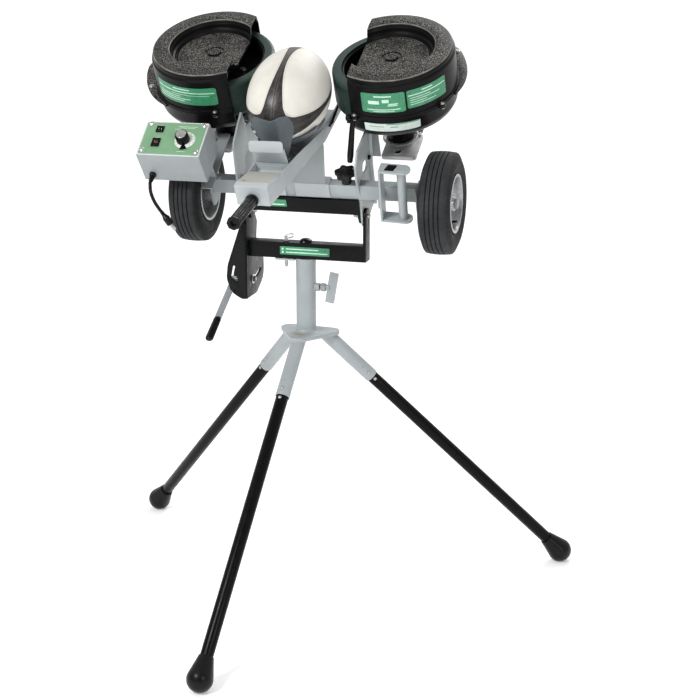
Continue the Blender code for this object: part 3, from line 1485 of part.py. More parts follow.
def make_control_box():
    carrier = frame("panel_frame", HEAD, PANEL_CENTRE, (PANEL_PITCH - HEAD_PITCH, 0.0, 0.0))
    w, h = PANEL_SIZE[0] / 2, PANEL_SIZE[1] / 2
    case = box((-w, -h, -BOX_DEPTH), (w, h, -PANEL_THICKNESS - GAP))
    strap_x0, strap_x1 = 0.034, 0.060
    strap_z = -0.156
    strap = box((strap_x0, -0.012, strap_z - 0.004), (strap_x1, 0.160, strap_z))
    leg = box((strap_x0, 0.022, strap_z - 0.002), (strap_x1, 0.026, -BOX_DEPTH + 0.001))
    boss = moved(rod(0.007, -0.1761, strap_z - 0.002), ((strap_x0 + strap_x1) / 2, 0.0433, 0.0))
    pockets = []
    for x, y in (POWER_ROCKER_AT, START_ROCKER_AT):
        rx, ry = ROCKER_SIZE[0] / 2 + 0.0015, ROCKER_SIZE[1] / 2 + 0.0015
        pockets.append(box((x - rx, y - ry, -0.012), (x + rx, y + ry, 0.01)))
    pockets.append(moved(rod(0.0036, -0.014, 0.01), (*KNOB_AT, 0.0)))
    solid("control_box", (GREY_PAINT, 0.45), carrier, case, [strap, leg, boss], pockets, bevel=0.0015)

    holes = []
    for x, y in (POWER_ROCKER_AT, START_ROCKER_AT):
        holes.append(rounded_box(ROCKER_SIZE[0] + 0.003, ROCKER_SIZE[1] + 0.003, 0.0, x, y))
    holes.append(circle(*KNOB_AT, 0.0036))
    outline = rounded_box(2 * w - 0.002, 2 * h - 0.002, 0.003)
    face = plate(outline, PANEL_THICKNESS, holes, at=-PANEL_THICKNESS)
    solid("control_panel", ((0.20, 0.36, 0.20), 0.5), carrier, face)
    make_panel_controls(carrier)
    make_cord(carrier, h)


def make_panel_controls(carrier):
    knob = turned(
        [
            (0.0, 0.0200),
            (0.0095, 0.0200),
            (0.0108, 0.0188),
            (0.0112, 0.0075),
            (KNOB_RADIUS, 0.0045),
            (KNOB_RADIUS, 0.0010),
            (0.0030, 0.0010),
            (0.0030, -0.0100),
            (0.0, -0.0100),
        ],
        20,
    )
    solid("speed_knob", (BLACK_PAINT, 0.35), carrier, knob, place=(*KNOB_AT, 0.0))
    for name, (x, y) in (("power_rocker", POWER_ROCKER_AT), ("start_rocker", START_ROCKER_AT)):
        half = ROCKER_SIZE[0] / 2
        pivot_z = -0.0045
        outline = [
            (-half + 0.0012, -0.0055),
            (half - 0.0012, -0.0055),
            (half, 0.0045 + half * tan(radians(ROCKER_TILT))),
            (0.0, 0.0045),
            (-half, 0.0045 + half * tan(radians(ROCKER_TILT))),
        ]
        rocker = plate(outline, ROCKER_SIZE[1], facing="Y", at=-ROCKER_SIZE[1] / 2)
        solid(name, (BLACK_PAINT, 0.3), carrier, rocker, place=(x, y, pivot_z), turn=(0.0, ROCKER_TILT, 0.0))


def smooth_route(points, per_span):
    """Points on a smooth curve through the route's own points; its first span is straight."""
    ends = [*points, 2 * points[-1] - points[-2]]
    made = [points[0]]
    for i in range(1, len(ends) - 2):
        a, b, c, d = ends[i - 1 : i + 3]
        for k in range(per_span):
            t = k / per_span
            made.append(
                0.5
                * (
                    (2 * b)
                    + (c - a) * t
                    + (2 * a - 5 * b + 4 * c - d) * t * t
                    + (3 * b - a - 3 * c + d) * t**3
                )
            )
    made.append(points[-1])
    return made


# The lead's route in the stand frame, from below the gland to the plug
CORD_ROUTE = [
    (-0.3060, -0.2175, 1.0130),
    (-0.2985, -0.2190, 0.9940),
    (-0.2900, -0.2175, 0.9790),
    (-0.2820, -0.2150, 0.9670),
]
PLUG_LENGTH = 0.036


def make_cord(carrier, half_height):
    gland = turned(
        [
            (0.0, GLAND_LENGTH),
            (CORD_RADIUS + 0.0012, GLAND_LENGTH),
            (CORD_RADIUS + 0.0026, 0.0075),
            (GLAND_RADIUS, 0.0055),
            (GLAND_RADIUS, GAP),
            (0.0, GAP),
        ],
        SMALL_STEPS,
    )
    x, z = GLAND_AT
    solid("cord_gland", (RUBBER, 0.6), carrier, gland, place=(x, -half_height, z), turn=(90.0, 0.0, 0.0))
    to_stand = Matrix.Translation((HEAD_X, 0.0, PIVOT_HEIGHT)) @ Matrix.Rotation(radians(HEAD_PITCH), 4, "X")
    to_stand = to_stand @ Matrix.Translation(PANEL_CENTRE)
    to_stand = to_stand @ Matrix.Rotation(radians(PANEL_PITCH - HEAD_PITCH), 4, "X")
    exit_y = -half_height - GLAND_LENGTH - GAP
    route = [to_stand @ Vector((x, exit_y, z)), to_stand @ Vector((x, exit_y - 0.005, z))]
    points = smooth_route(route + [Vector(point) for point in CORD_ROUTE], 4)
    cord = tube_mesh(points, CORD_RADIUS, 2)
    solid("power_cord", (RUBBER, 0.6), STAND, cord)
    end = points[-1]
    direction = (points[-1] - points[-2]).normalized()
    plug = turned(
        [
            (0.0, PLUG_LENGTH),
            (0.0105, PLUG_LENGTH),
            (0.0120, PLUG_LENGTH - 0.002),
            (0.0120, 0.018),
            (0.0068, 0.009),
            (0.0058, GAP),
            (0.0, GAP),
        ],
        SMALL_STEPS,
    )
    flatten = Matrix.Diagonal((1.0, 0.72, 1.0, 1.0))
    plug.transform(flatten)
    prongs = []
    for px in (-0.0062, 0.0062):
        low = (px - 0.0007, -0.003, PLUG_LENGTH - 0.004)
        high = (px + 0.0007, 0.003, PLUG_LENGTH + 0.016)
        prongs.append(box(low, high))
    turn = direction.to_track_quat("Z", "Y").to_euler()
    angles = [degrees(angle) for angle in turn]
    solid("power_plug", (RUBBER, 0.55), STAND, plug, prongs, place=end, turn=angles)


def build():
    make_tripod_hub()
    for name, azimuth in LEG_AZIMUTHS.items():
        make_leg(name, azimuth)
    make_post()
    make_clamp_screw()
    make_yoke_frame()
    make_swivel_spindle()
    make_swivel_pin()
    make_tilt_quadrant()
    make_pivot_pins()
    make_crossbar()
    make_axle_tube()
    make_tray_pedestal()
    make_ball_tray()
    make_tray_cover()
    make_backstop()
    make_ball_trough()
    make_ball()
    make_aim_grip()
    make_star_knob()
    for name, side in (("right", 1), ("left", -1)):
        make_side_plate(name, side)
        carrier = launcher_frame(name, side)
        make_guard(name, side, carrier)
        make_guard_bowl(name, side, carrier)
        make_throwing_wheel(name, side, carrier)
        make_gearbox_and_motor(name, side, carrier)
        x = RIGHT_WHEEL_X if side > 0 else LEFT_WHEEL_X
        tube_end = AXLE_TUBE_RIGHT if side > 0 else AXLE_TUBE_LEFT
        face = make_axle_end(name, side, x, tube_end)
        make_transport_wheel(name, side, x, face)
    make_carry_handle()
    make_release_lever()
    make_tilt_lock_lever()
    make_control_box()


build()
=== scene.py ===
"""Looks of the rugby ball machine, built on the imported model. Units are metres."""

import json
from math import acos, atan2, cos, degrees, pi, radians, sin, tan

import bmesh
import bpy
from mathutils import Matrix, Vector

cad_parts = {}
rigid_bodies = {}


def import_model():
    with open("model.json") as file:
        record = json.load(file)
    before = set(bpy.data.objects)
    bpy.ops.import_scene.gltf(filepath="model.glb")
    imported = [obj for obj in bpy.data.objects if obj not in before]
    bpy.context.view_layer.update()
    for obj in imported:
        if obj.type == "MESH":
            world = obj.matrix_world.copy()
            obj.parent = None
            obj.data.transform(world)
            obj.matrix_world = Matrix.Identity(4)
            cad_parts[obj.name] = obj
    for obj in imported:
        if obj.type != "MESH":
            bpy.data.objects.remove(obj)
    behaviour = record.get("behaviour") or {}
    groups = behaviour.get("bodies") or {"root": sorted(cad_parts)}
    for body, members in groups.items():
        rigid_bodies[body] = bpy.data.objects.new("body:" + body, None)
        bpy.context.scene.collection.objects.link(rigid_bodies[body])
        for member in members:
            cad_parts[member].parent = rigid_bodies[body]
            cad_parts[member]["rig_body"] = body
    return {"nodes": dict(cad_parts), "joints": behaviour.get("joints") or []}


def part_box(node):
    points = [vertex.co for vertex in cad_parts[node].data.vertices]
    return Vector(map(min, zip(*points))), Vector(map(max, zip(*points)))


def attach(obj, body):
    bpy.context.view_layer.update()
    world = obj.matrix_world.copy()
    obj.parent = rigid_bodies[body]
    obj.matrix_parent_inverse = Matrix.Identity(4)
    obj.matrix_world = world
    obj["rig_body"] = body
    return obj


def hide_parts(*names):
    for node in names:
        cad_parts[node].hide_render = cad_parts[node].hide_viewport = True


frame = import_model()
NODES = frame["nodes"]
JOINTS = {joint["name"]: joint for joint in frame["joints"]}
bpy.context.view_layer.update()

# Frames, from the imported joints

GAP = 0.0003
POST = Vector(JOINTS["yoke_swivel"]["pos_m"])
PIVOT = Vector(JOINTS["head_tilt"]["pos_m"])
LAUNCH_AXIS = Vector(JOINTS["throwing_wheel_right_spin"]["axis"])
HEAD_PITCH = degrees(atan2(-LAUNCH_AXIS.y, LAUNCH_AXIS.z))
HEAD_X = -0.022
PANEL_PITCH = 40.0
PANEL_CENTRE = (-0.237, -0.0837, 0.2579)
LEG_AZIMUTHS = {"front": 266.0, "left": 146.0, "right": 26.0}
FOOT_REACH = 0.661
FOOT_RADIUS = 0.03
FOOT_HEIGHT = 0.029
LEG_SLOPE = 44.9
SIDES = {"right": 1, "left": -1}
LAUNCHER_X, LAUNCHER_Y = 0.2183, 0.209
BALL_AT = (0.0, 0.0822, 0.277)
BALL_HALF = 0.1425
BALL_RADIUS = 0.095


def shift(*place):
    return Matrix.Translation(place)


def turn(angle, axis):
    return Matrix.Rotation(radians(angle), 4, axis)


STAND = shift(POST.x, POST.y, 0.0)
HEAD = shift(PIVOT.x + HEAD_X, PIVOT.y, PIVOT.z) @ turn(HEAD_PITCH, "X")
PANEL = HEAD @ shift(*PANEL_CENTRE) @ turn(PANEL_PITCH - HEAD_PITCH, "X")
LAUNCH = {}
WHEEL = {}
LEG = {}
for name, side in SIDES.items():
    LAUNCH[name] = shift(*JOINTS[f"throwing_wheel_{name}_spin"]["pos_m"]) @ turn(HEAD_PITCH, "X")
    WHEEL[name] = shift(
        *JOINTS[f"transport_wheel_{name}_spin"]["pos_m"]
    ) @ turn(HEAD_PITCH, "X") @ turn(90 * side, "Y")
for name, azimuth in LEG_AZIMUTHS.items():
    place = (FOOT_REACH * cos(radians(azimuth)), FOOT_REACH * sin(radians(azimuth)), FOOT_HEIGHT)
    LEG[name] = STAND @ shift(*place) @ turn(azimuth, "Z") @ turn(LEG_SLOPE - 90.0, "Y")

# Camera

CAMERA_FROM_POST = Vector((1.1707, -3.8249, 1.6992))
CAMERA_AZIMUTH = 15.5
CAMERA_DOWN = 15.37
LENS = 87.43
SENSOR = 36.0
camera_data = bpy.data.cameras.new("camera")
camera_data.lens = LENS
camera_data.sensor_width = SENSOR
camera_data.clip_end = 100.0
camera = bpy.data.objects.new("camera", camera_data)
camera.location = CAMERA_FROM_POST + Vector((POST.x, POST.y, 0.0))
camera.rotation_euler = (radians(90.0 - CAMERA_DOWN), 0.0, radians(CAMERA_AZIMUTH))
bpy.context.scene.collection.objects.link(camera)
bpy.context.scene.camera = camera


# Mesh tools


def link(name, data):
    obj = bpy.data.objects.new(name, data)
    bpy.context.scene.collection.objects.link(obj)
    return obj


def shade(mesh, angle=38.0):
    mesh.shade_smooth()
    mesh.set_sharp_from_angle(angle=radians(angle))
    return mesh


def finished(bm, angle=38.0):
    bmesh.ops.recalc_face_normals(bm, faces=bm.faces)
    mesh = bpy.data.meshes.new("shape")
    bm.to_mesh(mesh)
    bm.free()
    return shade(mesh, angle)


def evaluated(obj, angle=38.0):
    """The mesh of an object with its modifiers applied; the object goes."""
    bpy.context.view_layer.update()
    graph = bpy.context.evaluated_depsgraph_get()
    mesh = bpy.data.meshes.new_from_object(obj.evaluated_get(graph))
    bpy.data.objects.remove(obj, do_unlink=True)
    mesh.materials.clear()
    return shade(mesh, angle)


def soften(mesh, width, segments=2, angle=40.0, clamp=True):
    """Round the sharp edges of a mesh."""
    obj = link("soften", mesh)
    bevel = obj.modifiers.new("edges", "BEVEL")
    bevel.width = width
    bevel.segments = segments
    bevel.limit_method = "ANGLE"
    bevel.angle_limit = radians(angle)
    bevel.use_clamp_overlap = clamp
    bevel.miter_outer = "MITER_ARC"
    return evaluated(obj)


def combine(mesh, others, kind="DIFFERENCE", angle=38.0):
    """The mesh joined with, cut by or kept inside the others."""
    obj = link("combine", mesh)
    helpers = []
    for other in others:
        helper = link("helper", other)
        change = obj.modifiers.new("change", "BOOLEAN")
        change.operation = kind
        change.solver = "EXACT"
        change.object = helper
        helpers.append(helper)
    made = evaluated(obj, angle)
    for helper in helpers:
        bpy.data.objects.remove(helper, do_unlink=True)
    return made


def moved(mesh, matrix):
    copy = mesh.copy()
    copy.transform(matrix)
    return copy


def box(low, high, bevel=0.0, segments=2):
    bm = bmesh.new()
    size = Vector(high) - Vector(low)
    middle = (Vector(high) + Vector(low)) / 2
    bmesh.ops.create_cube(bm, size=1.0, matrix=Matrix.Translation(middle) @ Matrix.Diagonal((*size, 1.0)))
    mesh = finished(bm)
    return soften(mesh, bevel, segments) if bevel else mesh


def fillet(points, steps=5, closed=False):
    """Points with their corners rounded; a corner is (x, y) or (x, y, radius)."""
    count = len(points)
    made = []
    for i, point in enumerate(points):
        x, y = point[:2]
        radius = point[2] if len(point) > 2 else 0.0
        if radius == 0.0 or (not closed and i in (0, count - 1)):
            made.append((x, y))
            continue
        corner = Vector((x, y))
        before = Vector(points[i - 1][:2]) - corner
        after = Vector(points[(i + 1) % count][:2]) - corner
        reach_limit = min(before.length, after.length) * 0.49
        before.normalize()
        after.normalize()
        half = acos(max(-1.0, min(1.0, before.dot(after)))) / 2
        if half > radians(89.0):
            made.append((x, y))
            continue
        radius = min(radius, reach_limit * tan(half))
        centre = corner + (before + after).normalized() * radius / sin(half)
        start = corner + before * radius / tan(half) - centre
        end = corner + after * radius / tan(half) - centre
        first = atan2(start.y, start.x)
        sweep = (atan2(end.y, end.x) - first + pi) % (2 * pi) - pi
        for k in range(steps + 1):
            angle = first + sweep * k / steps
            made.append((centre.x + radius * cos(angle), centre.y + radius * sin(angle)))
    return made


def lathe(profile, steps=96, closed=False, axis="Z", angle=38.0):
    """A turned surface through (radius, height) points; with closed it joins its last point to its first."""
    bm = bmesh.new()
    rings = []
    for radius, z in profile:
        if abs(radius) < 1e-7:
            rings.append([bm.verts.new((0.0, 0.0, z))])
        else:
            rings.append([
                bm.verts.new((radius * cos(2 * pi * k / steps), radius * sin(2 * pi * k / steps), z))
                for k in range(steps)
            ])
    pairs = list(zip(rings, rings[1:]))
    if closed:
        pairs.append((rings[-1], rings[0]))
    for low, high in pairs:
        for k in range(steps):
            j = (k + 1) % steps
            if len(low) == 1 and len(high) == 1:
                continue
            if len(low) == 1:
                bm.faces.new((low[0], high[j], high[k]))
            elif len(high) == 1:
                bm.faces.new((low[k], low[j], high[0]))
            else:
                bm.faces.new((low[k], low[j], high[j], high[k]))
    mesh = finished(bm, angle)
    if axis == "X":
        mesh.transform(turn(90, "Y"))
    if axis == "Y":
        mesh.transform(turn(-90, "X"))
    return mesh


def turned(points, rounding, steps=96, **more):
    """A turned surface with its corners rounded."""
    return lathe(fillet(points, rounding), steps, **more)


def rod(radius, low, high, axis="Z", steps=32, round_end=0.0008):
    rounding = min(round_end, radius * 0.4, (high - low) * 0.3)
    profile = fillet([(0.0, low), (radius, low, rounding), (radius, high, rounding), (0.0, high)], 2)
    return lathe(profile, steps, axis=axis)


def outline_plate(outline, thickness, holes=(), bevel=0.0005, facing="Z", at=0.0, steps=1):
    """A flat plate with rounded edges. An outline point is (x, y) for Z, (y, z) for X, and (x, z) for Y."""
    curve = bpy.data.curves.new("outline", "CURVE")
    curve.dimensions = "2D"
    curve.fill_mode = "BOTH"
    curve.extrude = thickness / 2 - bevel
    curve.bevel_depth = bevel
    curve.bevel_resolution = steps
    curve.offset = -bevel
    for loop in (outline, *holes):
        spline = curve.splines.new("POLY")
        spline.points.add(len(loop) - 1)
        for point, (x, y) in zip(spline.points, loop):
            point.co = (x, y, 0.0, 1.0)
        spline.use_cyclic_u = True
    mesh = evaluated(link("outline", curve))
    weld = bmesh.new()
    weld.from_mesh(mesh)
    bmesh.ops.remove_doubles(weld, verts=weld.verts, dist=0.000002)
    weld.to_mesh(mesh)
    weld.free()
    shade(mesh)
    mesh.transform(shift(0.0, 0.0, thickness / 2))
    if facing == "X":
        mesh.transform(shift(at, 0.0, 0.0) @ turn(90, "Z") @ turn(90, "X"))
    elif facing == "Y":
        mesh.transform(shift(0.0, at + thickness, 0.0) @ turn(90, "X"))
    else:
        mesh.transform(shift(0.0, 0.0, at))
    return mesh


def cut_plate(points, rounding, thickness, *holes, **more):
    """A flat plate with rounded corners."""
    return outline_plate(fillet(points, rounding, closed=True), thickness, *holes, **more)


def circle(x, y, radius, steps=32):
    return [(x + radius * cos(2 * pi * k / steps), y + radius * sin(2 * pi * k / steps)) for k in range(steps)]


def arc(x, y, radius, first, last, steps):
    angles = [radians(first + (last - first) * k / steps) for k in range(steps + 1)]
    return [(x + radius * cos(a), y + radius * sin(a)) for a in angles]


def rounded_rectangle(width, height, radius, x=0.0, y=0.0, steps=5):
    w, h = width / 2, height / 2
    corners = [(x - w, y - h, radius), (x + w, y - h, radius), (x + w, y + h, radius), (x - w, y + h, radius)]
    return fillet(corners, steps, closed=True)


def wire(name, points, radius, resolution=6):
    """A curve of round section through the points."""
    curve = bpy.data.curves.new(name, "CURVE")
    curve.dimensions = "3D"
    curve.bevel_depth = radius
    curve.bevel_resolution = resolution
    curve.use_fill_caps = True
    spline = curve.splines.new("POLY")
    spline.points.add(len(points) - 1)
    for point, co in zip(spline.points, points):
        point.co = (*co, 1.0)
    return curve


def tube(points, radius, resolution=6):
    return evaluated(link("route", wire("route", points, radius, resolution)))


def spans(ring, per_span):
    """Points on the smooth curve through all but the first and last of the ring."""
    made = []
    for i in range(1, len(ring) - 2):
        a, b, c, d = ring[i - 1 : i + 3]
        for k in range(per_span):
            t = k / per_span
            made.append(
                0.5 * ((2 * b) + (c - a) * t + (2 * a - 5 * b + 4 * c - d) * t * t + (3 * b - a - 3 * c + d) * t**3)
            )
    return made


def through(points, per_span=8, closed=False):
    """Points on a smooth curve through the given ones."""
    points = [Vector(point) for point in points]
    if closed:
        ring = [points[-1], *points, points[0], points[1]]
    else:
        ring = [2 * points[0] - points[1], *points, 2 * points[-1] - points[-2]]
    made = spans(ring, per_span)
    if not closed:
        made.append(points[-1])
    return made


def cad_copy(node, bevel=0.0008, segments=2, angle=40.0, matrix=None):
    """A copy of a CAD node's mesh with flat faces made whole and its edges rounded."""
    bm = bmesh.new()
    bm.from_mesh(NODES[node].data)
    bmesh.ops.remove_doubles(bm, verts=bm.verts, dist=0.000005)
    bmesh.ops.dissolve_limit(bm, angle_limit=radians(0.6), verts=bm.verts, edges=bm.edges)
    mesh = bpy.data.meshes.new("copy")
    bm.to_mesh(mesh)
    bm.free()
    for attribute in [a.name for a in mesh.attributes if a.name in ("custom_normal",)]:
        mesh.attributes.remove(mesh.attributes[attribute])
    mesh.materials.clear()
    if matrix is not None:
        mesh.transform(matrix.inverted())
    shade(mesh)
    return soften(mesh, bevel, segments, angle) if bevel else mesh


class Piece:
    """One object put together from meshes, each with its material."""

    def __init__(self, name, place=Matrix.Identity(4)):
        self.name = name
        self.place = place
        self.bm = bmesh.new()
        self.materials = []

    def add(self, mesh, look, at=Matrix.Identity(4)):
        if look not in self.materials:
            self.materials.append(look)
        copy = moved(mesh, at)
        index = self.materials.index(look)
        copy.polygons.foreach_set("material_index", [index] * len(copy.polygons))
        self.bm.from_mesh(copy)
        bpy.data.meshes.remove(copy)
        return self

    def done(self, node, slot):
        """The object, which rides on the node's body and takes its place."""
        mesh = bpy.data.meshes.new(self.name)
        self.bm.to_mesh(mesh)
        self.bm.free()
        for look in self.materials:
            mesh.materials.append(look)
        obj = link(self.name, mesh)
        obj.matrix_world = self.place
        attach(obj, NODES[node]["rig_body"])
        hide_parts(node)
        return obj


def dress(node, name, look, slot, bevel, segments):
    """The copy of a CAD node that takes its place."""
    piece = Piece(name)
    piece.add(cad_copy(node, bevel, segments), look)
    piece.done(node, slot)


# Materials


def linear(code):
    """A colour from its sRGB code."""
    values = [int(code[i : i + 2], 16) / 255 for i in (0, 2, 4)]
    return [v / 12.92 if v <= 0.04045 else ((v + 0.055) / 1.055) ** 2.4 for v in values]


class Look:
    """Builds the node tree of one material."""

    def __init__(self, name, roughness=0.5, metallic=0.0, **sockets):
        self.material = bpy.data.materials.new(name)
        self.material.use_nodes = True
        self.nodes = self.material.node_tree.nodes
        self.links = self.material.node_tree.links
        self.shader = self.nodes["Principled BSDF"]
        self.shader.inputs["Roughness"].default_value = roughness
        self.shader.inputs["Metallic"].default_value = metallic
        for key, value in sockets.items():
            self.shader.inputs[key.replace("_", " ")].default_value = value
        self.coordinates = self.nodes.new("ShaderNodeTexCoord")
        self.normal = None

    def put(self, socket, value):
        if isinstance(value, bpy.types.NodeSocket):
            self.links.new(value, socket)
        else:
            socket.default_value = value

    def make(self, kind, inputs=None, **settings):
        node = self.nodes.new(f"ShaderNode{kind}")
        for key, value in settings.items():
            setattr(node, key, value)
        for key, value in (inputs or {}).items():
            self.put(node.inputs[key], value)
        return node

    def space(self, kind="Object", scale=(1.0, 1.0, 1.0)):
        if scale == (1.0, 1.0, 1.0):
            return self.coordinates.outputs[kind]
        return self.make("Mapping", {"Vector": self.coordinates.outputs[kind], "Scale": scale}).outputs["Vector"]

    def noise(self, scale, detail=3.0, rough=0.55, stretch=(1.0, 1.0, 1.0)):
        inputs = {"Vector": self.space("Object", stretch), "Scale": scale, "Detail": detail, "Roughness": rough}
        return self.make("TexNoise", inputs).outputs["Fac"]

    def cells(self, scale, feature="F1"):
        return self.make("TexVoronoi", {"Vector": self.space(), "Scale": scale}, feature=feature).outputs["Distance"]

    def math(self, operation, a, b=0.0, c=0.0, clamp=False):
        node = self.make("Math", operation=operation, use_clamp=clamp)
        for socket, value in zip(node.inputs, (a, b, c)):
            self.put(socket, value)
        return node.outputs[0]

    def times(self, *values):
        made = values[0]
        for value in values[1:]:
            made = self.math("MULTIPLY", made, value)
        return made

    def minus(self, a, b):
        return self.math("SUBTRACT", a, b)

    def size(self, value):
        return self.math("ABSOLUTE", value)

    def length(self, a, b):
        """The length of the flat vector (a, b)."""
        return self.math("SQRT", self.math("ADD", self.times(a, a), self.times(b, b)))

    def split(self, vector):
        return self.make("SeparateXYZ", {"Vector": vector}).outputs

    def spread(self, value, low, high, to_low=0.0, to_high=1.0, kind="LINEAR"):
        inputs = {"Value": value, "From Min": low, "From Max": high, "To Min": to_low, "To Max": to_high}
        return self.make("MapRange", inputs, interpolation_type=kind).outputs["Result"]

    def blend(self, share, a, b):
        node = self.make("Mix", data_type="RGBA")
        self.put(node.inputs["Factor"], share)
        for key, value in (("A", a), ("B", b)):
            socket = [s for s in node.inputs if s.name == key and s.type == "RGBA"][0]
            self.put(socket, value if isinstance(value, bpy.types.NodeSocket) else (*value, 1.0))
        return [s for s in node.outputs if s.type == "RGBA"][0]

    def between(self, a, b, *noise):
        """Two colours in soft patches."""
        return self.blend(self.spread(self.noise(*noise), 0.3, 0.7), a, b)

    def colour(self, value):
        self.put(self.shader.inputs["Base Color"], value)
        return self

    def rough(self, value):
        self.put(self.shader.inputs["Roughness"], value)
        return self

    def uneven(self, low, high, *noise):
        """A roughness in soft patches."""
        return self.rough(self.spread(self.noise(*noise), 0.3, 0.7, low, high))

    def bump(self, height, strength, distance):
        inputs = {"Height": height, "Strength": strength, "Distance": distance}
        node = self.make("Bump", inputs)
        if self.normal is not None:
            self.links.new(self.normal, node.inputs["Normal"])
        self.normal = node.outputs["Normal"]
        self.put(self.shader.inputs["Normal"], self.normal)
        return self

    def facing_up(self, low=0.45, high=0.85):
        """1 where the surface faces up its own frame's z axis."""
        return self.spread(self.split(self.space("Normal"))["Z"], low, high, kind="SMOOTHSTEP")


def shades(colour, dark=0.86, light=1.1):
    return [c * dark for c in colour], [min(1.0, c * light) for c in colour]


def paint(name, colour, roughness=0.42, grain=1100.0, depth=0.00012, mottle=9.0, spots=0.0, gloss=0.5):
    """Powder coat: soft mottling, orange peel, and now and then a small rub mark."""
    look = Look(name, roughness, 0.0, Specular_IOR_Level=gloss)
    dark, light = shades(colour, 0.9, 1.07)
    base = look.between(dark, light, mottle, 4.0)
    rub = look.spread(look.noise(70.0, 5.0, 0.7), 0.66, 0.74)
    base = look.blend(look.times(rub, 0.18 + spots), base, [min(1.0, c * 1.5 + 0.03) for c in colour])
    look.colour(base)
    look.uneven(roughness - 0.06, roughness + 0.08, 45.0, 3.0)
    look.bump(look.noise(grain, 2.0), 0.35, depth)
    return look.material


def burnt_paint():
    """Grey paint with a yellow and brown heat stain."""
    look = Look("burnt_paint", 0.45)
    patch = look.spread(look.noise(55.0, 4.0, 0.6, (0.6, 1.6, 1.0)), 0.35, 0.62)
    deep = look.spread(look.noise(120.0, 4.0, 0.7), 0.45, 0.7)
    stain = look.blend(look.times(deep, patch), (0.36, 0.3, 0.17), (0.16, 0.11, 0.05))
    look.colour(look.blend(patch, (0.335, 0.345, 0.33), stain))
    look.bump(look.noise(900.0, 2.0), 0.35, 0.0001)
    return look.material


def metal(name, colour, roughness=0.3, grain=500.0, stretch=(1.0, 1.0, 1.0), depth=0.00006, metallic=1.0):
    look = Look(name, roughness, metallic)
    dark, light = shades(colour, 0.78, 1.08)
    look.colour(look.between(dark, light, 30.0, 5.0, 0.65, stretch))
    look.uneven(roughness - 0.08, roughness + 0.14, 90.0, 4.0, 0.6, stretch)
    look.bump(look.noise(grain, 3.0, 0.6, stretch), 0.4, depth)
    return look.material


def plastic(name, colour, roughness=0.4, grain=900.0, depth=0.00008, scuff=0.25, gloss=0.5):
    look = Look(name, roughness, 0.0, Specular_IOR_Level=gloss)
    dark, light = shades(colour, 0.85, 1.15)
    base = look.between(dark, light, 14.0, 4.0)
    mark = look.spread(look.noise(160.0, 5.0, 0.75, (1.0, 0.35, 1.0)), 0.64, 0.78)
    base = look.blend(look.times(mark, scuff), base, [c + 0.05 for c in colour])
    look.colour(base)
    look.uneven(roughness - 0.07, roughness + 0.1, 60.0, 3.0)
    look.bump(look.noise(grain, 2.0), 0.35, depth)
    return look.material


def rubber(name, colour, roughness=0.68, dust=0.12, gloss=0.3):
    look = Look(name, roughness, 0.0, Specular_IOR_Level=gloss)
    dark, light = shades(colour, 0.8, 1.2)
    base = look.between(dark, light, 25.0, 5.0, 0.65)
    grey = look.spread(look.noise(11.0, 6.0, 0.7), 0.52, 0.75, 0.0, dust)
    look.colour(look.blend(grey, base, (0.2, 0.2, 0.19)))
    look.uneven(roughness - 0.08, roughness + 0.12, 120.0, 3.0)
    look.bump(look.noise(1400.0, 2.0), 0.4, 0.0001)
    return look.material


def hammer_tone(name, bands=((0.0, 1.0),), edges=(), size=420.0):
    """Black hammered paint: silver flecks on faces that look up, between the radii of the bands; painted highlights,
    light lines in patches along the rounded edges at the given radii; and plain satin black elsewhere."""
    look = Look(name, 0.4, 0.0, Specular_IOR_Level=0.1)
    grain = look.noise(size, 2.5, 0.6)
    fine = look.noise(size * 2.4, 2.0, 0.6)
    mix = look.math("ADD", look.times(grain, 0.66), look.times(fine, 0.34))
    flecks = look.spread(mix, 0.515, 0.6)
    cloud = look.spread(look.noise(11.0, 4.0), 0.3, 0.7, 0.45, 1.0)
    up = look.facing_up(0.55, 0.9)
    x, y, z = look.split(look.space())
    radius = look.length(x, y)
    inside = 0.0
    for low, high in bands:
        band = look.times(look.spread(radius, low - 0.0008, low), look.spread(radius, high, high - 0.0008))
        inside = band if inside == 0.0 else look.math("MAXIMUM", inside, band)
    share = look.times(look.times(flecks, cloud), look.times(up, inside))
    plain = look.between((0.0028, 0.0029, 0.003), (0.0058, 0.0058, 0.0058), 18.0, 4.0)
    colour = look.blend(share, plain, (0.36, 0.35, 0.32))
    # Painted highlights: light lines, in patches, along the rounded rim, shoulder and floor edges
    for ring, half, strength in edges:
        line = look.spread(look.size(look.minus(radius, ring)), half, half * 0.3, kind="SMOOTHSTEP")
        above = look.spread(z, -0.03, -0.026)
        patch = look.spread(look.noise(35.0, 4.0), 0.35, 0.6, 0.45, 1.0)
        painted_highlight = look.times(look.times(line, above), look.times(patch, strength))
        colour = look.blend(painted_highlight, colour, (0.42, 0.41, 0.37))
    look.colour(colour)
    look.rough(look.spread(share, 0.0, 1.0, 0.3, 0.44))
    look.bump(look.times(mix, look.spread(up, 0.0, 1.0, 0.12, 1.0)), 0.6, 0.0007)
    return look.material


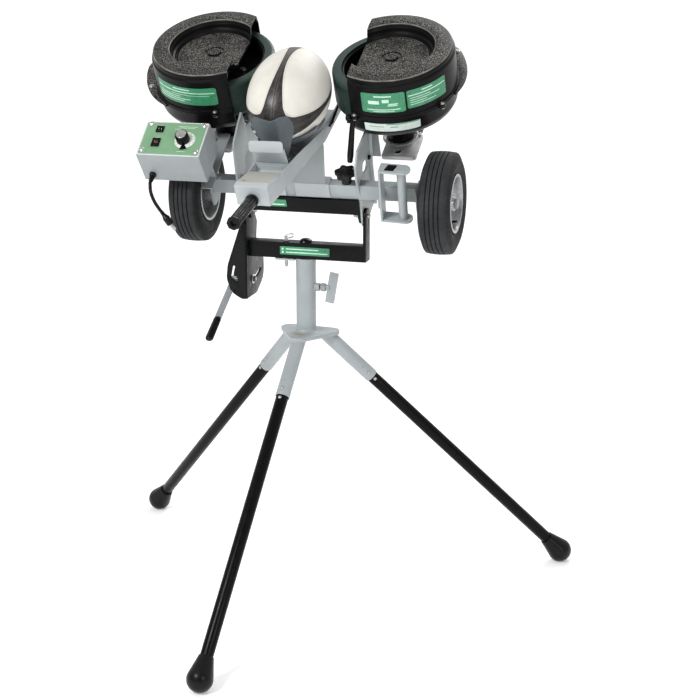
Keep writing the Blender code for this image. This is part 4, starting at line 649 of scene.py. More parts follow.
def striped_plate(name, ground, mark, rows, gloss=0.28):
    """A plain plate with plain pale stripes: rows are (middle, half height, start, end) in its own u and v."""
    look = Look(name, gloss)
    u, v = look.split(look.space("UV"))[:2]
    total = 0.0
    for middle, half, start, end in rows:
        line = look.spread(look.size(look.minus(v, middle)), half, half * 0.8)
        left = look.spread(u, start, start + 0.006)
        right = look.spread(u, end, end - 0.006)
        stripe = look.times(line, look.times(left, right))
        total = stripe if total == 0.0 else look.math("MAXIMUM", total, stripe)
    dark, light = shades(ground, 0.9, 1.08)
    base = look.between(dark, light, 20.0, 3.0)
    wear = look.spread(look.noise(260.0, 4.0, 0.7), 0.35, 0.55, 0.75, 1.0)
    look.colour(look.blend(look.times(total, wear), base, mark))
    look.uneven(gloss - 0.05, gloss + 0.1, 80.0, 3.0)
    look.bump(look.noise(300.0, 2.0), 0.15, 0.0001)
    return look.material


BALL_SEAM = 87.5
BAND_HALF = 0.0062
BAND_SPREAD = 1.17
PANEL_END = 0.1275
PANEL_CORNER = 0.011


def ball_skin():
    """White panels between black bands along four seams, with a pimpled grip; the ball's long axis is y."""
    look = Look("ball_skin", 0.42, 0.0, Specular_IOR_Level=0.4)
    x, y, z = look.split(look.space())
    radius = look.length(x, z)
    angle = look.math("ARCTAN2", z, x)
    quarter = pi / 2
    first = look.math("ADD", look.minus(angle, radians(BALL_SEAM)), quarter * 8.5)
    wrapped = look.minus(look.math("MODULO", first, quarter), quarter / 2)
    away = look.times(look.size(wrapped), radius)
    along = look.size(y)
    width = look.math("MULTIPLY_ADD", look.times(y, y), BAND_SPREAD, BAND_HALF)
    a = look.minus(away, width)
    b = look.minus(PANEL_END, along)
    near_a = look.math("MAXIMUM", look.minus(PANEL_CORNER, a), 0.0)
    near_b = look.math("MAXIMUM", look.minus(PANEL_CORNER, b), 0.0)
    reach = look.length(near_a, near_b)
    white = look.spread(reach, PANEL_CORNER, PANEL_CORNER - 0.0006)
    cream = look.between(linear("cac7be"), linear("dad7cf"), 16.0, 4.0)
    dirt = look.spread(look.noise(42.0, 6.0, 0.75), 0.6, 0.78, 0.0, 0.22)
    cream = look.blend(dirt, cream, linear("b9b4a8"))
    inset = look.spread(look.size(look.minus(reach, PANEL_CORNER - 0.0034)), 0.0011, 0.0003)
    far_in = look.spread(look.math("MINIMUM", a, b), 0.0, 0.0006)
    cream = look.blend(look.times(look.times(inset, far_in), 0.32), cream, linear("8f8b82"))
    black_band = look.between(linear("141312"), linear("262423"), 24.0, 5.0)
    fibres = look.spread(look.noise(210.0, 4.0, 0.6, (1.0, 0.12, 1.0)), 0.45, 0.7, 0.0, 0.35)
    black_band = look.blend(fibres, black_band, linear("5c554f"))
    # Painted reflection: lighter lines on each side of the seam down the middle of each black band
    painted_seam_sheen = look.spread(look.size(look.minus(away, 0.0026)), 0.0022, 0.0004, 0.0, 0.3)
    black_band = look.blend(painted_seam_sheen, black_band, linear("6a645f"))
    look.colour(look.blend(white, black_band, cream))
    look.rough(look.spread(white, 0.0, 1.0, 0.36, 0.5))
    pimples = look.spread(look.cells(520.0), 0.0, 0.6, 1.0, 0.0)
    seam = look.spread(away, 0.0, 0.0011, 0.0, 1.0, "SMOOTHSTEP")
    look.bump(pimples, 0.22, 0.0003)
    look.bump(seam, 0.5, 0.0006)
    return look.material


def tread_rubber():
    """Tyre rubber with fine rings on the tread; the wheel's axle is z."""
    look = Look("tyre_rubber", 0.72, 0.0, Specular_IOR_Level=0.3)
    base = look.between(linear("1c1d1f"), linear("2c2e30"), 20.0, 5.0, 0.65)
    dust = look.spread(look.noise(9.0, 6.0, 0.7), 0.5, 0.75, 0.0, 0.18)
    wall = look.spread(look.size(look.split(look.space())["Z"]), 0.03, 0.0335)
    base = look.blend(dust, base, linear("55544f"))
    look.colour(look.blend(look.times(wall, 0.85), base, (0.003, 0.003, 0.003)))
    rings = look.make("TexWave", {"Vector": look.space(), "Scale": 260.0, "Distortion": 0.4}, bands_direction="Z")
    look.uneven(0.62, 0.84, 100.0, 3.0)
    look.bump(rings.outputs["Fac"], 0.12, 0.0002)
    look.bump(look.noise(1200.0, 2.0), 0.35, 0.00012)
    return look.material


GREY = paint("grey_paint", (0.325, 0.355, 0.365), 0.42)
# A darker, matter copy of the grey paint: painted shade, for grey parts that face down or away from the light
GREY_SHADE = paint("grey_paint_shaded_matt", (0.27, 0.295, 0.305), 0.5)
# A light copy of the grey paint: painted highlights on lips, edges and ledges
GREY_HIGHLIGHT = paint("grey_paint_highlight", (0.56, 0.59, 0.6), 0.4)
# A lighter copy of the grey paint for the tray parts: painted light, making up for the light their down-facing faces
# miss
GREY_PAINTED_LIGHT = paint("grey_paint_painted_light", (0.4, 0.432, 0.442), 0.42)
CHROME = metal("bright_steel", (0.78, 0.78, 0.76), 0.2)
BEIGE = paint("cover_paint", (0.4, 0.395, 0.36), 0.48)
BLACK = paint("black_paint", (0.004, 0.0043, 0.0043), 0.32, mottle=7.0, spots=-0.12, gloss=0.12)
LEG_BLACK = paint("leg_paint", (0.003, 0.003, 0.0031), 0.28, mottle=20.0, spots=-0.14, gloss=0.1)
QUADRANT = paint("quadrant_paint", (0.0065, 0.007, 0.0075), 0.3, spots=-0.1, gloss=0.14)
# Painted highlight lines of the hammered guard: radius, half width and strength
RIM_HIGHLIGHT = (0.1052, 0.0015, 0.5)
EDGE_HIGHLIGHT = (0.144, 0.0015, 0.5)
FLOOR_HIGHLIGHT = (0.0866, 0.0012, 0.5)
HAMMER = hammer_tone("hammered_black", ((0.0, 0.0858), (0.107, 0.1445)), (RIM_HIGHLIGHT, EDGE_HIGHLIGHT, FLOOR_HIGHLIGHT))
BOWL_BLACK = hammer_tone("hammered_flange", ((0.1545, 0.3),), size=360.0)
THROWING = rubber("throwing_rubber", (0.0105, 0.03, 0.024), 0.46, 0.05, gloss=0.4)
TYRE = tread_rubber()
RUBBER = rubber("black_rubber", (0.004, 0.004, 0.004), 0.3, 0.02, gloss=0.18)
CORD_RUBBER = rubber("cord_rubber", (0.004, 0.004, 0.004), 0.4, 0.02, gloss=0.15)
SLATE = plastic("trough_plastic", (0.068, 0.083, 0.092), 0.4, gloss=0.45)
GLOSS_BLACK = plastic("black_plastic", (0.004, 0.004, 0.004), 0.22, scuff=0.1, gloss=0.2)
KNOB_BLACK = plastic("knob_plastic", (0.004, 0.004, 0.004), 0.2, scuff=0.1, gloss=0.22)
STEEL = metal("zinc_steel", (0.5, 0.5, 0.48), 0.34)
STEEL_DARK = metal("dark_steel", (0.14, 0.14, 0.15), 0.4)
RIM = metal("rim_metal", (0.36, 0.37, 0.38), 0.28, grain=700.0, metallic=0.75)
CAST = metal("cast_aluminium", (0.5, 0.5, 0.5), 0.48, grain=420.0, depth=0.0002, metallic=0.6)
HUB = metal("hub_metal", (0.035, 0.036, 0.038), 0.45)
MOTOR = paint("motor_paint", (0.016, 0.0165, 0.018), 0.45, gloss=0.35)
WHITE = plastic("dial_white", linear("cfd3cd"), 0.4, scuff=0.05)
SAGE = paint("panel_paint", linear("719a75"), 0.4, mottle=14.0)
PALE = plastic("pale_print", linear("c9dccb"), 0.45)
# Near-black: painted shade inside holes and a slot, and printed ticks on the dial
SHADE_AND_PRINT_BLACK = plastic("shade_and_print_black", (0.003, 0.003, 0.003), 0.8, gloss=0.1)
RED_WINDOW = plastic("rocker_window", (0.1, 0.022, 0.012), 0.2)
GREEN_CODE = "37855f"
STRIPE_CODE = "c6e6d5"

# The power lead, repeated from the part's source

CORD_RADIUS = 0.004
GLAND_AT = (-0.0516, -0.066)
PANEL_HALF_Y = 0.052
GLAND_LENGTH = 0.022
CORD_ROUTE = [(-0.306, -0.2175, 1.013), (-0.2985, -0.219, 0.994), (-0.29, -0.2175, 0.979), (-0.282, -0.215, 0.967)]


def smooth_route(points, per_span):
    """Points on a smooth curve through the route's own points; its first span is straight."""
    return [points[0], *spans([*points, 2 * points[-1] - points[-2]], per_span), points[-1]]


exit_y = -PANEL_HALF_Y - GLAND_LENGTH - GAP
cord_start = [
    PANEL @ Vector((GLAND_AT[0], exit_y, GLAND_AT[1])), PANEL @ Vector((GLAND_AT[0], exit_y - 0.005, GLAND_AT[1])),
]
cord_points = smooth_route(cord_start + [STAND @ Vector(point) for point in CORD_ROUTE], 4)
cord_curve = wire("power_lead", cord_points, CORD_RADIUS)
cord_curve.materials.append(CORD_RUBBER)
cord = link("power_lead", cord_curve)
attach(cord, NODES["power_cord"]["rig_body"])
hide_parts("power_cord")

PLUG_LENGTH = 0.036
plug_frame = Matrix.Translation(cord_points[-1]) @ (
    cord_points[-1] - cord_points[-2]
).to_track_quat("Z", "Y").to_matrix().to_4x4()
plug_profile = fillet([
    (0.0, GAP), (0.0058, GAP), (0.0066, 0.009, 0.004), (0.0118, 0.018, 0.004), (0.012, PLUG_LENGTH - 0.002, 0.002),
    (0.01, PLUG_LENGTH, 0.001), (0.0, PLUG_LENGTH),
], 4)
plug = Piece("plug", plug_frame)
plug.add(lathe(plug_profile, 40), GLOSS_BLACK, Matrix.Diagonal((1.0, 0.72, 1.0, 1.0)))
for k in range(4):
    groove = lathe(
        [(0.0061 + 0.0001 * k, 0.002 + 0.0022 * k), (0.0069, 0.0026 + 0.0022 * k), (0.0061, 0.0034 + 0.0022 * k)], 32,
    )
    plug.add(groove, GLOSS_BLACK, Matrix.Diagonal((1.0, 0.72, 1.0, 1.0)))
for x in (-0.0062, 0.0062):
    plug.add(box((x - 0.0007, -0.003, PLUG_LENGTH - 0.004), (x + 0.0007, 0.003, PLUG_LENGTH + 0.016), 0.0004), STEEL)
plug = plug.done("power_plug", "black_rubber")

# Small hardware, made once


def make_pan_screw():
    dome = turned([(0.0, -0.0002), (1.0, -0.0002, 0.05), (0.96, 0.28, 0.25), (0.55, 0.52, 0.2), (0.0, 0.56)], 4, 32)
    long, short, deep = 0.58, 0.11, 0.18
    cross = [box((-x, -y, deep), (x, y, 1.0)) for x, y in ((long, short), (short, long))]
    return combine(dome, cross)


PAN_SCREW = make_pan_screw()
HEX = soften(combine(
    outline_plate(circle(0.0, 0.0, 1.0, 6), 0.62, bevel=0.0001),
    [lathe([(0.0, -0.1), (1.02, -0.1), (1.02, 0.48), (0.82, 0.64), (0.0, 0.64)], 32)], "INTERSECT",
), 0.03, 1)
WASHER = turned([(0.4, 0.0), (1.0, 0.0, 0.04), (1.0, 0.12, 0.04), (0.4, 0.12)], 2, 32, closed=True)


def sized(size):
    return Matrix.Diagonal((size, size, size, 1.0))


def put_screw(piece, place, radius=0.004, look=STEEL):
    piece.add(PAN_SCREW, look, place @ sized(radius))


def put_bolt(piece, place, radius=0.0055, look=STEEL, washer=True):
    if washer:
        piece.add(WASHER, look, place @ sized(radius * 1.35))
        place = place @ shift(0.0, 0.0, radius * 0.16)
    piece.add(HEX, look, place @ sized(radius))


def stripe_sheet(name, rows, node, columns, quad, ground=GREEN_CODE, mark=STRIPE_CODE, steps=48):
    """A thin plate bent on a surface: quad(u, v) gives the point, columns the corner rounding in u and v."""
    corner_u, corner_v = columns
    bm = bmesh.new()
    uv_layer = bm.loops.layers.uv.new("UVMap")
    grid = []
    levels = 8
    for i in range(steps + 1):
        u = i / steps
        near = min(u, 1.0 - u) / corner_u
        inset = corner_v * (1.0 - (1.0 - (1.0 - min(1.0, near)) ** 2) ** 0.5)
        grid.append([(u, inset + (1.0 - 2 * inset) * k / levels) for k in range(levels + 1)])
    top = [[bm.verts.new(quad(u, v, 0.0006)) for u, v in column] for column in grid]
    low = [[bm.verts.new(quad(u, v, -0.0004)) for u, v in column] for column in grid]

    def face(corners, coordinates):
        made = bm.faces.new(corners)
        for loop, co in zip(made.loops, coordinates):
            loop[uv_layer].uv = co

    for i in range(steps):
        for k in range(levels):
            corners = (top[i][k], top[i + 1][k], top[i + 1][k + 1], top[i][k + 1])
            face(corners, (grid[i][k], grid[i + 1][k], grid[i + 1][k + 1], grid[i][k + 1]))
        for k in (0, levels):
            corners = (top[i][k], top[i + 1][k], low[i + 1][k], low[i][k])
            face(corners, ((0.0, 0.0),) * 4)
    for i in (0, steps):
        for k in range(levels):
            face((top[i][k], top[i][k + 1], low[i][k + 1], low[i][k]), ((0.0, 0.0),) * 4)
    mesh = finished(bm)
    mesh.materials.append(striped_plate(name, linear(ground), linear(mark), rows))
    obj = link(name, mesh)
    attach(obj, NODES[node]["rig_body"])
    return obj


# Tripod

HUB_PLATE = 0.0105
HUB_TIPS = {26.0: 0.106, 146.0: 0.112, 266.0: 0.096}
SOCKET_RADIUS = 0.0171
SOCKET_WALL = 0.0016
SOCKET_START, SOCKET_END = 0.162, 0.03
BUTTON_REACH = 0.15
BUTTON_TURNS = {"front": 0.0, "left": 85.0, "right": -85.0}


def along_leg(reach):
    return (FOOT_REACH - reach) / cos(radians(LEG_SLOPE))


hub = Piece("tripod_hub_dressed", STAND)
hub_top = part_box("tripod_hub")[1].z - 0.0115
hub_under = hub_top - HUB_PLATE
corners = []
for azimuth in sorted(LEG_AZIMUTHS.values()):
    tip = HUB_TIPS[azimuth]
    corners.append((tip * cos(radians(azimuth)), tip * sin(radians(azimuth)), 0.024))
hub_plate = cut_plate(corners, 14, HUB_PLATE, bevel=0.0018, steps=3, at=hub_under)
hub.add(hub_plate, GREY)
burn = through([
    (-0.034, -0.026, 0.0), (-0.02, -0.04, 0.0), (-0.002, -0.046, 0.0), (0.012, -0.042, 0.0), (0.002, -0.036, 0.0),
    (-0.016, -0.031, 0.0),
], 8, closed=True)
hub.add(outline_plate([tuple(p)[:2] for p in burn], 0.0006, bevel=0.0002, at=hub_top - 0.0003), burnt_paint())
for name, azimuth in LEG_AZIMUTHS.items():
    leg_in_stand = STAND.inverted() @ LEG[name]
    low, high = along_leg(SOCKET_START), along_leg(SOCKET_END)
    socket = turned([
        (SOCKET_RADIUS - SOCKET_WALL, high), (SOCKET_RADIUS, high), (SOCKET_RADIUS, low, 0.0007),
        (SOCKET_RADIUS - SOCKET_WALL, low, 0.0007), (SOCKET_RADIUS - SOCKET_WALL, low + 0.04),
    ], 3, 56, closed=True)
    button_turn = BUTTON_TURNS[name]
    button_z = along_leg(BUTTON_REACH)
    holes = [moved(rod(0.0043, 0.0, 0.03, "X"), turn(button_turn, "Z") @ shift(0.0, 0.0, button_z))]
    socket = combine(socket, holes)
    top_cut = box((-0.2, -0.2, hub_top - 0.004), (0.2, 0.2, hub_top + 0.2))
    socket = combine(moved(socket, leg_in_stand), [top_cut])
    hub.add(socket, GREY)
    second = moved(
        rod(0.0032, SOCKET_RADIUS - 0.003, SOCKET_RADIUS + 0.00015, "X", 24),
        turn(button_turn, "Z") @ shift(0, 0, along_leg(0.135)),
    )
    hub.add(second, GREY_SHADE, leg_in_stand)
    bead = []
    for k in range(49):
        angle = 2 * pi * k / 48
        across, out = SOCKET_RADIUS * sin(angle), SOCKET_RADIUS * cos(angle)
        slope = radians(LEG_SLOPE)
        reach = (
            along_leg(0.0) * sin(slope) - (hub_under - FOOT_HEIGHT) + out * cos(slope)
        ) / sin(slope) * cos(slope) + out * sin(slope)
        bead.append(Vector((
            reach * cos(radians(azimuth)) - across * sin(radians(azimuth)),
            reach * sin(radians(azimuth)) + across * cos(radians(azimuth)), hub_under - 0.0005,
        )))
    hub.add(tube(bead, 0.0016, 2), GREY)
hub = hub.done("tripod_hub", "grey_paint")

post_piece = Piece("post_dressed", STAND)
post_top = POST.z + 0.0002
flare = fillet([
    (0.0205, post_top), (0.024, post_top, 0.0006), (0.024, hub_top + 0.0085, 0.004),
    (0.0265, hub_top + 0.0035, 0.004), (0.031, hub_top + 0.0003), (0.0205, hub_top + 0.0003),
], 5)
post_piece.add(lathe(flare, 96, closed=True), GREY)
CLAMP_Z = post_top - 0.0702
post_piece.add(rod(0.01, 0.022, 0.035, "X", 40), GREY, shift(0.0, 0.0, CLAMP_Z))
tab = fillet([(-0.0725, -0.022, 0.008), (-0.0225, -0.022), (-0.0225, 0.022), (-0.0725, 0.022, 0.008)], 6, closed=True)
slot_outline = arc(0.0, 0.0, 0.0537, 164.5, 195.5, 12) + arc(
    0.0492 * cos(radians(195.5)), 0.0492 * sin(radians(195.5)), 0.0045, 195.5, 375.5, 8,
)[1:-1]
slot_outline += arc(0.0, 0.0, 0.0447, 195.5, 164.5, 12) + arc(
    0.0492 * cos(radians(164.5)), 0.0492 * sin(radians(164.5)), 0.0045, 344.5, 524.5, 8,
)[1:-1]
post_piece.add(outline_plate(tab, 0.004, [slot_outline], at=post_top - 0.0045), GREY)
post_piece.done("post", "grey_paint")

for name in LEG_AZIMUTHS:
    leg = Piece(f"leg_tube_{name}", LEG[name])
    top = along_leg(0.08)
    leg.add(turned(
        [(0.013, 0.012), (0.015, 0.012, 0.0005), (0.015, top, 0.0008), (0.013, top)], 2, 48, closed=True,
    ), LEG_BLACK)
    button_turn = BUTTON_TURNS[name]
    rivet = turned([(0.0, 0.017), (0.003, 0.0166, 0.002), (0.0042, 0.0146), (0.0, 0.0146)], 4, 32, axis="X")
    leg.add(rivet, STEEL, turn(button_turn, "Z") @ shift(0.0, 0.0, along_leg(0.1672)))
    leg.done(f"leg_{name}", "black_paint")

    foot = Piece(f"foot_bulb_{name}", LEG[name])
    start = radians(14.6)
    bulb = []
    for k in range(25):
        angle = start - (start + pi / 2) * k / 24
        bulb.append((max(0.0, FOOT_RADIUS * cos(angle)), FOOT_RADIUS * sin(angle)))
    bulb[-1] = (0.0, -FOOT_RADIUS)
    neck = fillet([(0.0153, 0.052), (0.0176, 0.052, 0.0012), (0.0186, 0.047, 0.004), bulb[0]], 5)
    profile = [(0.0, 0.0117), (0.0153, 0.0117)] + neck[:-1] + bulb
    shape = lathe(profile, 64)
    ground = moved(
        box((-0.05, -0.05, -0.03), (0.05, 0.05, 0.0)),
        LEG[name].inverted() @ shift(LEG[name].translation.x, LEG[name].translation.y, 0.0),
    )
    foot.add(combine(shape, [ground]), RUBBER)
    foot.done(f"foot_{name}", "black_rubber")

    button = Piece(f"button_{name}", LEG[name] @ shift(0.0, 0.0, along_leg(BUTTON_REACH)) @ turn(button_turn, "Z"))
    profile = fillet([
        (0.0, 0.0191), (0.0034, 0.0191, 0.002), (0.004, 0.0165), (0.004, 0.0115), (0.005, 0.0115), (0.005, 0.009),
        (0.0, 0.009),
    ], 5)
    button.add(lathe(profile, 32, axis="X"), STEEL)
    button.done(f"snap_button_{name}", "steel")

clamp = Piece("clamp_handle", STAND @ shift(0.0, 0.0, CLAMP_Z))
clamp.add(rod(0.005, 0.0205, 0.043, "X"), STEEL)
for k in range(5):
    x = 0.0352 + 0.0007 * k
    clamp.add(lathe([(0.005, -0.0003), (0.0054, 0.0), (0.005, 0.0003)], 24, axis="X"), STEEL_DARK, shift(x, 0.0, 0.0))
clamp.add(HEX, GREY_SHADE, shift(0.0385, 0.0, 0.0) @ turn(90, "Y") @ Matrix.Diagonal((0.0105, 0.0105, 0.0185, 1.0)))
clamp.add(rod(0.0065, 0.0495, 0.06, "X"), GREY)
clamp.add(
    outline_plate(rounded_rectangle(0.022, 0.0755, 0.002), 0.006, bevel=0.0008, facing="Y", at=-0.003), GREY,
    shift(0.065, 0, 0) @ turn(9.6, "Y"),
)
clamp.done("clamp_screw", "grey_paint")

# Yoke

dress("yoke_frame", "yoke_dressed", BLACK, "black_paint", 0.0022, 3)
dome = Piece("yoke_dome", STAND)
BAR_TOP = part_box("yoke_frame")[0].z + 0.038
dome.add(turned([
    (0.0, BAR_TOP + 0.0103), (0.0085, BAR_TOP + 0.009, 0.004), (0.0145, BAR_TOP + 0.005, 0.004),
    (0.0163, BAR_TOP + 0.0003), (0.0, BAR_TOP + 0.0003),
], 6, 64), GLOSS_BLACK)
spindle_low = post_top - 0.12
dome.add(turned([
    (0.0, BAR_TOP), (0.008, BAR_TOP), (0.008, POST.z), (0.02, POST.z), (0.02, spindle_low, 0.001), (0.0, spindle_low),
], 3, 64), STEEL)
dome.done("swivel_spindle", "steel")

FLANGE_X = -0.1385
FLANGE_NEAR = -0.033
FLANGE_WALL = 0.005
PIVOT_Z = PIVOT.z


def make_quadrant():
    sector = arc(0.0, PIVOT_Z, 0.019, 160, 20, 24)
    corners = [
        (0.048, -0.035, 0.012), (0.0385, -0.082, 0.03), (0.094, -0.134, 0.02), (0.0965, -0.182, 0.045),
        (0.04, -0.213, 0.03), (FLANGE_NEAR, -0.2125, 0.0), (FLANGE_NEAR, -0.0165, 0.0),
    ]
    sector += fillet([(y, PIVOT_Z + rise, radius) for y, rise, radius in corners], 9)
    first, last, half = -86.2 - 2.6, -86.2 + 18.6, 0.0045
    slot = arc(0.0, PIVOT_Z, 0.173 + half, first, last, 24)
    end = slot_end(0.173, last)
    slot += arc(*end, half, last, last + 180.0, 8)[1:-1]
    slot += arc(0.0, PIVOT_Z, 0.173 - half, last, first, 24)
    slot += arc(*slot_end(0.173, first), half, first + 180.0, first + 360.0, 8)[1:-1]
    pivot = circle(0.0, PIVOT_Z, 0.0054, 32)
    flange = outline_plate(sector, FLANGE_WALL, [slot, pivot], bevel=0.0005, facing="X", at=FLANGE_X - FLANGE_WALL)
    corners = [
        (0.0, -0.0165, 0.0), (0.014, -0.025, 0.01), (0.0497, -0.1315, 0.04), (0.053, -0.164, 0.04),
        (0.0419, -0.199, 0.035), (0.014, -0.2145, 0.016), (0.0, -0.213, 0.0),
    ]
    outline = fillet([(FLANGE_X - out, PIVOT_Z + rise, radius) for out, rise, radius in corners], 9)
    hook = [
        (0.0305, -0.133, 0.0022), (0.0352, -0.154, 0.003), (0.0247, -0.164, 0.002), (0.0252, -0.1722, 0.002),
        (0.0418, -0.16, 0.005), (0.0362, -0.1325, 0.0022),
    ]
    hook = fillet([(FLANGE_X - out, PIVOT_Z + rise, radius) for out, rise, radius in hook], 5, closed=True)
    face = outline_plate(outline, FLANGE_WALL, [hook], bevel=0.0005, facing="Y", at=FLANGE_NEAR)
    bend = rod(FLANGE_WALL, PIVOT_Z - 0.2125, PIVOT_Z - 0.0165, "Z", 32, 0.0002)
    quadrant = Piece("quadrant_dressed", STAND)
    for mesh in (flange, face):
        quadrant.add(mesh, QUADRANT)
    quadrant.add(bend, QUADRANT, shift(FLANGE_X - FLANGE_WALL, FLANGE_NEAR + FLANGE_WALL, 0.0))
    quadrant.done("tilt_quadrant", "black_paint")


def slot_end(radius, angle):
    return radius * cos(radians(angle)), PIVOT_Z + radius * sin(radians(angle))


make_quadrant()

pins = Piece("left_pivot_dressed", STAND)
pins.add(rod(0.005, FLANGE_X - 0.0143, FLANGE_X + 0.016, "X"), STEEL, shift(0.0, 0.0, PIVOT_Z))
pins.add(turned([
    (0.0, FLANGE_X - 0.02), (0.009, FLANGE_X - 0.02, 0.0015), (0.009, FLANGE_X - 0.0143, 0.0006),
    (0.0, FLANGE_X - 0.0143),
], 3, 40, axis="X"), STEEL, shift(0.0, 0.0, PIVOT_Z))
pins.done("pivot_pin_left", "steel")
plunger = Piece("right_pivot_dressed", STAND @ shift(0.0, 0.0, PIVOT_Z))
plunger.add(turned([
    (0.0, 0.1598), (0.0042, 0.1598, 0.0012), (0.005, 0.1578), (0.005, 0.134), (0.008, 0.134, 0.0006),
    (0.008, 0.13, 0.0006), (0.0055, 0.127, 0.001), (0.0035, 0.119, 0.001), (0.0, 0.118),
], 3, 40, axis="X"), STEEL)
plunger.add(
    turned([(0.0, 0.156), (0.0046, 0.156, 0.001), (0.0046, 0.16, 0.001), (0.0, 0.16)], 3, 32, axis="X"), STEEL,
)
plunger.done("pivot_pin_right", "steel")

LOCK_PIN_X = -0.0492
EYE_Z = BAR_TOP + 0.0085
lock_pin = Piece("lock_pin_dressed", STAND @ shift(LOCK_PIN_X, 0.0, 0.0))
pin_profile = fillet([
    (0.0, EYE_Z + 0.0045), (0.0038, EYE_Z + 0.0043, 0.0015), (0.004, EYE_Z + 0.001), (0.004, BAR_TOP + 0.0035),
    (0.007, BAR_TOP + 0.0035, 0.0006), (0.007, BAR_TOP + GAP, 0.0006), (0.004, BAR_TOP + GAP),
    (0.004, POST.z - 0.0195, 0.002), (0.0026, POST.z - 0.0243, 0.001), (0.0, POST.z - 0.0245),
], 3)
lock_pin.add(
    combine(lathe(pin_profile, 32), [moved(rod(0.0017, -0.01, 0.01, "X", 20), shift(0.0, 0.0, EYE_Z))]), STEEL,
)
lock_pin.done("swivel_pin", "steel")
ring = Piece("lock_pin_ring_dressed", STAND @ shift(LOCK_PIN_X, 0.0, EYE_Z - 0.0006) @ turn(-24, "Z") @ turn(14, "X"))
loops = []
for k in range(101):
    angle = 2 * pi * 1.6 * k / 100 - pi / 2
    loops.append(Vector((0.0115 * cos(angle), 0.0115 + 0.0115 * sin(angle), -0.0009 + 0.0018 * k / 100)))
ring.add(tube(loops, 0.0008, 3), STEEL)
ring.done("swivel_pin_ring", "steel")

# Head frame members

TUBE_TOP = 0.0948
crossbar = Piece("crossbar_dressed")
crossbar.add(cad_copy("crossbar", 0.0022, 3), BLACK)
LUGS_X = (-0.0439, 0.1383)
for x in LUGS_X:
    crossbar.add(rod(0.0065, 0.0105, 0.0158, "Z", 32, 0.003), BLACK, HEAD @ shift(x, -0.004, 0.0))
crossbar.done("crossbar", "black_paint")

axle = Piece("axle_tube_dressed")
axle.add(cad_copy("axle_tube", 0.0022, 3), GREY)
put_bolt(axle, HEAD @ shift(-0.1775, -0.006, TUBE_TOP + 0.0002), 0.0055, GREY)
axle.done("axle_tube", "grey_paint")

# The pedestal in the lighter copy of the grey paint: painted light
dress("tray_pedestal", "pedestal_dressed", GREY_PAINTED_LIGHT, "grey_paint", 0.0008, 2)

tray = Piece("tray_dressed")
# The tray in the lighter copy of the grey paint: painted light
tray.add(cad_copy("ball_tray", 0.0006, 2), GREY_PAINTED_LIGHT)
put_bolt(tray, HEAD @ shift(0.0801, 0.154, 0.183) @ turn(90, "Y"), 0.0042, STEEL_DARK)
stay = through([(0.0835, 0.18, 0.196), (0.087, 0.16, 0.1985), (0.0865, 0.13, 0.195), (0.083, 0.108, 0.185)])
tray.add(tube(stay, 0.0034), GLOSS_BLACK, HEAD)
tray.add(tube([Vector((0.083, 0.093, 0.188)), Vector((0.083, 0.121, 0.18))], 0.003), GLOSS_BLACK, HEAD)
tray.done("ball_tray", "grey_paint")

cover = Piece("cover_dressed")
COVER_NEAR = Vector((0.0, -0.235, 0.2568))
COVER_FAR = Vector((0.0, -0.15, 0.2237))
section = fillet([
    (-0.2508, 0.23), (-0.2508, 0.2578, 0.0015), (-0.236, 0.2574, 0.003), (-0.15, 0.2237, 0.001), (-0.15, 0.218),
], 4, closed=True)
wedge = outline_plate(section, 0.0774, bevel=0.0009, steps=2, facing="X", at=-0.0387)
for vert in wedge.vertices:
    vert.co.x *= 1.0 + 0.466 * (vert.co.y + 0.2505)
# The cover's wedge in the lighter copy of the grey paint: painted light
cover.add(wedge, GREY_PAINTED_LIGHT, HEAD)
# A thin strip in the light grey: a painted highlight along the ledge
cover.add(box((-0.0385, -0.104, 0.204), (0.0385, -0.1, 0.2105), 0.001), GREY_HIGHLIGHT, HEAD)
cover_way = COVER_FAR - COVER_NEAR
cover_at = HEAD @ Matrix.Translation(COVER_NEAR) @ turn(degrees(atan2(cover_way.z, cover_way.y)), "X")
cover_outline = [
    (-0.035, 0.0, 0.002), (0.036, 0.0, 0.002), (0.038, cover_way.length, 0.001), (-0.037, cover_way.length, 0.001),
]
cover.add(cut_plate(cover_outline, 4, 0.002, bevel=0.0005, at=-0.0012), BEIGE, cover_at)
for x in (-0.0215, 0.031):
    put_screw(cover, cover_at @ shift(x, 0.0055, 0.0008), 0.0038)
cover.done("tray_cover", "cover_paint")

# The backstop in the lighter copy of the grey paint: painted light
dress("backstop_plate", "backstop_dressed", GREY_PAINTED_LIGHT, "grey_paint", 0.0006, 2)


def half_oval(radius, half, rings):
    """The profile of a ball; its two ends lie on the axis."""
    profile = [(radius * cos(a), half * sin(a)) for a in (pi / 2 - pi * k / rings for k in range(rings + 1))]
    profile[0] = (0.0, half)
    profile[-1] = (0.0, -half)
    return profile


TROUGH_FOLD = 0.0155
TROUGH_TURN = radians(38.0)


def bent_sheet(mesh, fold, angle, y, radius=0.01, strips=10):
    """A sheet bent back about an upright line at x = fold; its front is at y before the fold."""
    start = fold - radius * angle / 2
    bm = bmesh.new()
    bm.from_mesh(mesh)
    for k in range(strips + 1):
        everything = [*bm.verts, *bm.edges, *bm.faces]
        at = (start + radius * angle * k / strips, 0.0, 0.0)
        bmesh.ops.bisect_plane(bm, geom=everything, dist=0.000001, plane_co=at, plane_no=(1.0, 0.0, 0.0))
    for vert in bm.verts:
        along, depth = vert.co.x, vert.co.y - y
        heading = max(0.0, min(angle, (along - start) / radius))
        over = max(0.0, along - start - radius * angle)
        x = min(along, start) + radius * sin(heading) + over * cos(angle)
        back = radius * (1.0 - cos(heading)) + over * sin(angle)
        vert.co.x = x - depth * sin(heading)
        vert.co.y = y + back + depth * cos(heading)
    bm.to_mesh(mesh)
    bm.free()
    return shade(mesh)


